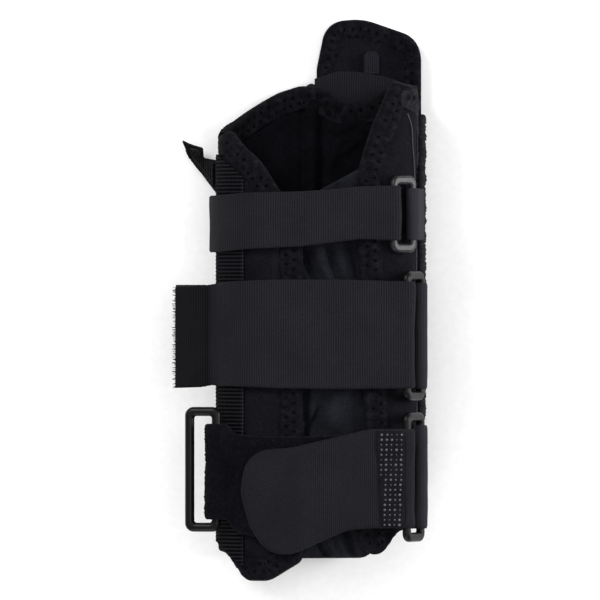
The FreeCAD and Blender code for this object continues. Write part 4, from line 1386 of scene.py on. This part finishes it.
def stay_pocket():
    """Flat fabric tube under the back that the stay slides out of, and the stitches round it."""
    low, high = box_mm("back_stay_pocket")
    wide, tall, cloth = high[0] - low[0], high[2] - low[2], 0.8
    seam_x, hem = 12.5, high[1] - 3
    turn = (tall - cloth) / 2
    flat = wide / 2 - cloth / 2 - turn
    path = Path(0, high[2] - cloth / 2, 180, -1).line(flat).arc(turn, 180)
    path.line(2 * flat).arc(turn, 180).line(flat).done()

    def relief(s, y, v):
        x = path.at(s, 0.0)[0]
        soft = 0.12 * wobble(x, y, 26, 131, 2) * (1 - bump(np.abs(x), seam_x, 3.0))
        sunk = -0.3 * bump(np.abs(x), seam_x, 0.8) + np.minimum(soft, 0.0)
        return np.where((s > flat) & (s < 3 * flat + turn * math.pi), sunk, 0.0), 0.0

    edges = straight(low[1], high[1])
    case = ribbon("back_stay_pocket_cloth", path, edges, cloth, laminate, 150, 150, relief, 0.5, 0.3)
    settle(case, "sleeve", ["back_stay_pocket"])
    base = Path(-22.0, low[2] + 0.3, 0, -1).line(44.0).done()
    left, right = 22.0 - seam_x, 22.0 + seam_x
    rows = stitches(base, [(left, hem), (right, hem)], 0.0, lift=0.22)
    for across in (left, right):
        rows += stitches(base, [(across, low[1] + 2), (across, hem)], 0.0, lift=0.22)
    settle(tubes("back_stay_pocket_stitching", rows, 0.22, thread), "sleeve")


# ------------------------------------------------------------ rings and stays
def dress(name, material):
    """Give a piece that keeps its CAD shape its material."""
    piece = frame["nodes"][name]
    piece.data.materials.clear()
    piece.data.materials.append(material)
    piece.data.polygons.foreach_set("use_smooth", [True] * len(piece.data.polygons))
    sharp = piece.modifiers.new("crisp_edges", "EDGE_SPLIT")
    sharp.split_angle = math.radians(40)


def hard_parts():
    """Rings and stays keep their CAD shape."""
    # The palm ring gets the lighter plastic, which paints its highlights in.
    dress("palm_ring", ring_plastic)
    for name in ("wrist_ring", "forearm_ring", "cinch_ring"):
        dress(name, dark_plastic)
    for name in ("back_stay", "left_side_stay", "right_side_stay", "hand_tab_stay"):
        dress(name, stay_metal)


sleeve()
side_seams()
piping()
webbing()
tongue()
palm_strap()
wrist_strap()
forearm_strap()
grip()
loop_strap()
chape("palm", NARROW_BAR, 47.2, 0.6)
chape("wrist", WIDE_BAR, 45.9, 0.5)
chape("forearm", WIDE_BAR, 45.9, 0.2)
side_pile_band()
hand_tab()
thumb_strap()
thumb_tail()
stay_pocket()
hard_parts()


# ------------------------------------------------------------ floor, light, camera
FLOOR_DROP = 0.0006  # the floor is this far below the splint, against shared faces (m)
SENSOR, CAMERA_UP, FRAME_WIDTH = 36.0, 4500.0, 276.0  # mm


def add(name, data):
    made = bpy.data.objects.new(name, data)
    bpy.context.scene.collection.objects.link(made)
    return made


def studio():
    """A pale floor, four soft lights and a camera straight above, far away."""
    reach = 3.0
    mesh = bpy.data.meshes.new("floor")
    mesh.from_pydata(
        [(-reach, -reach, 0), (reach, -reach, 0), (reach, reach, 0), (-reach, reach, 0)], [], [(0, 1, 2, 3)]
    )
    floor = add("floor", mesh)
    floor.location.z = -FLOOR_DROP
    paper = Look("pale_floor", 0.9, 0.1)
    grain = paper.noise(paper.place(), 300.0)
    tone = paper.ramp(grain, (0.3, (0.83, 0.83, 0.83)), (0.7, (0.87, 0.87, 0.87)))
    mesh.materials.append(paper.finish(tone, grain, 0.00003))

    world = bpy.data.worlds.new("studio")
    bpy.context.scene.world = world
    world.use_nodes = True
    world.node_tree.nodes["Background"].inputs["Color"].default_value = (1.0, 1.0, 1.0, 1.0)
    world.node_tree.nodes["Background"].inputs["Strength"].default_value = 0.52

    for name, place, size, power in (
        ("key", (-0.6, 0.6, 0.9), 0.5, 10.5),
        ("side", (0.95, 0.15, 0.42), 0.5, 12.0),
        ("top", (0.1, 0.05, 1.2), 0.6, 3.6),
        ("low", (-0.3, -0.9, 0.5), 0.5, 3.4),
    ):
        data = bpy.data.lights.new(name, "AREA")
        data.shape = "SQUARE"
        data.size = size
        data.energy = power
        lamp = add(name, data)
        lamp.location = place
        lamp.rotation_mode = "QUATERNION"
        lamp.rotation_quaternion = (-Vector(place)).to_track_quat("-Z", "Y")

    data = bpy.data.cameras.new("camera")
    data.sensor_width = SENSOR
    data.lens = SENSOR * CAMERA_UP / FRAME_WIDTH
    data.clip_start = 0.05
    data.clip_end = 20.0
    camera = add("camera", data)
    camera.location = (-9.2 * MM, 0.0, (CAMERA_UP + FRONT) * MM)
    bpy.context.scene.camera = camera
    bpy.context.scene.view_settings.view_transform = "Standard"


studio()
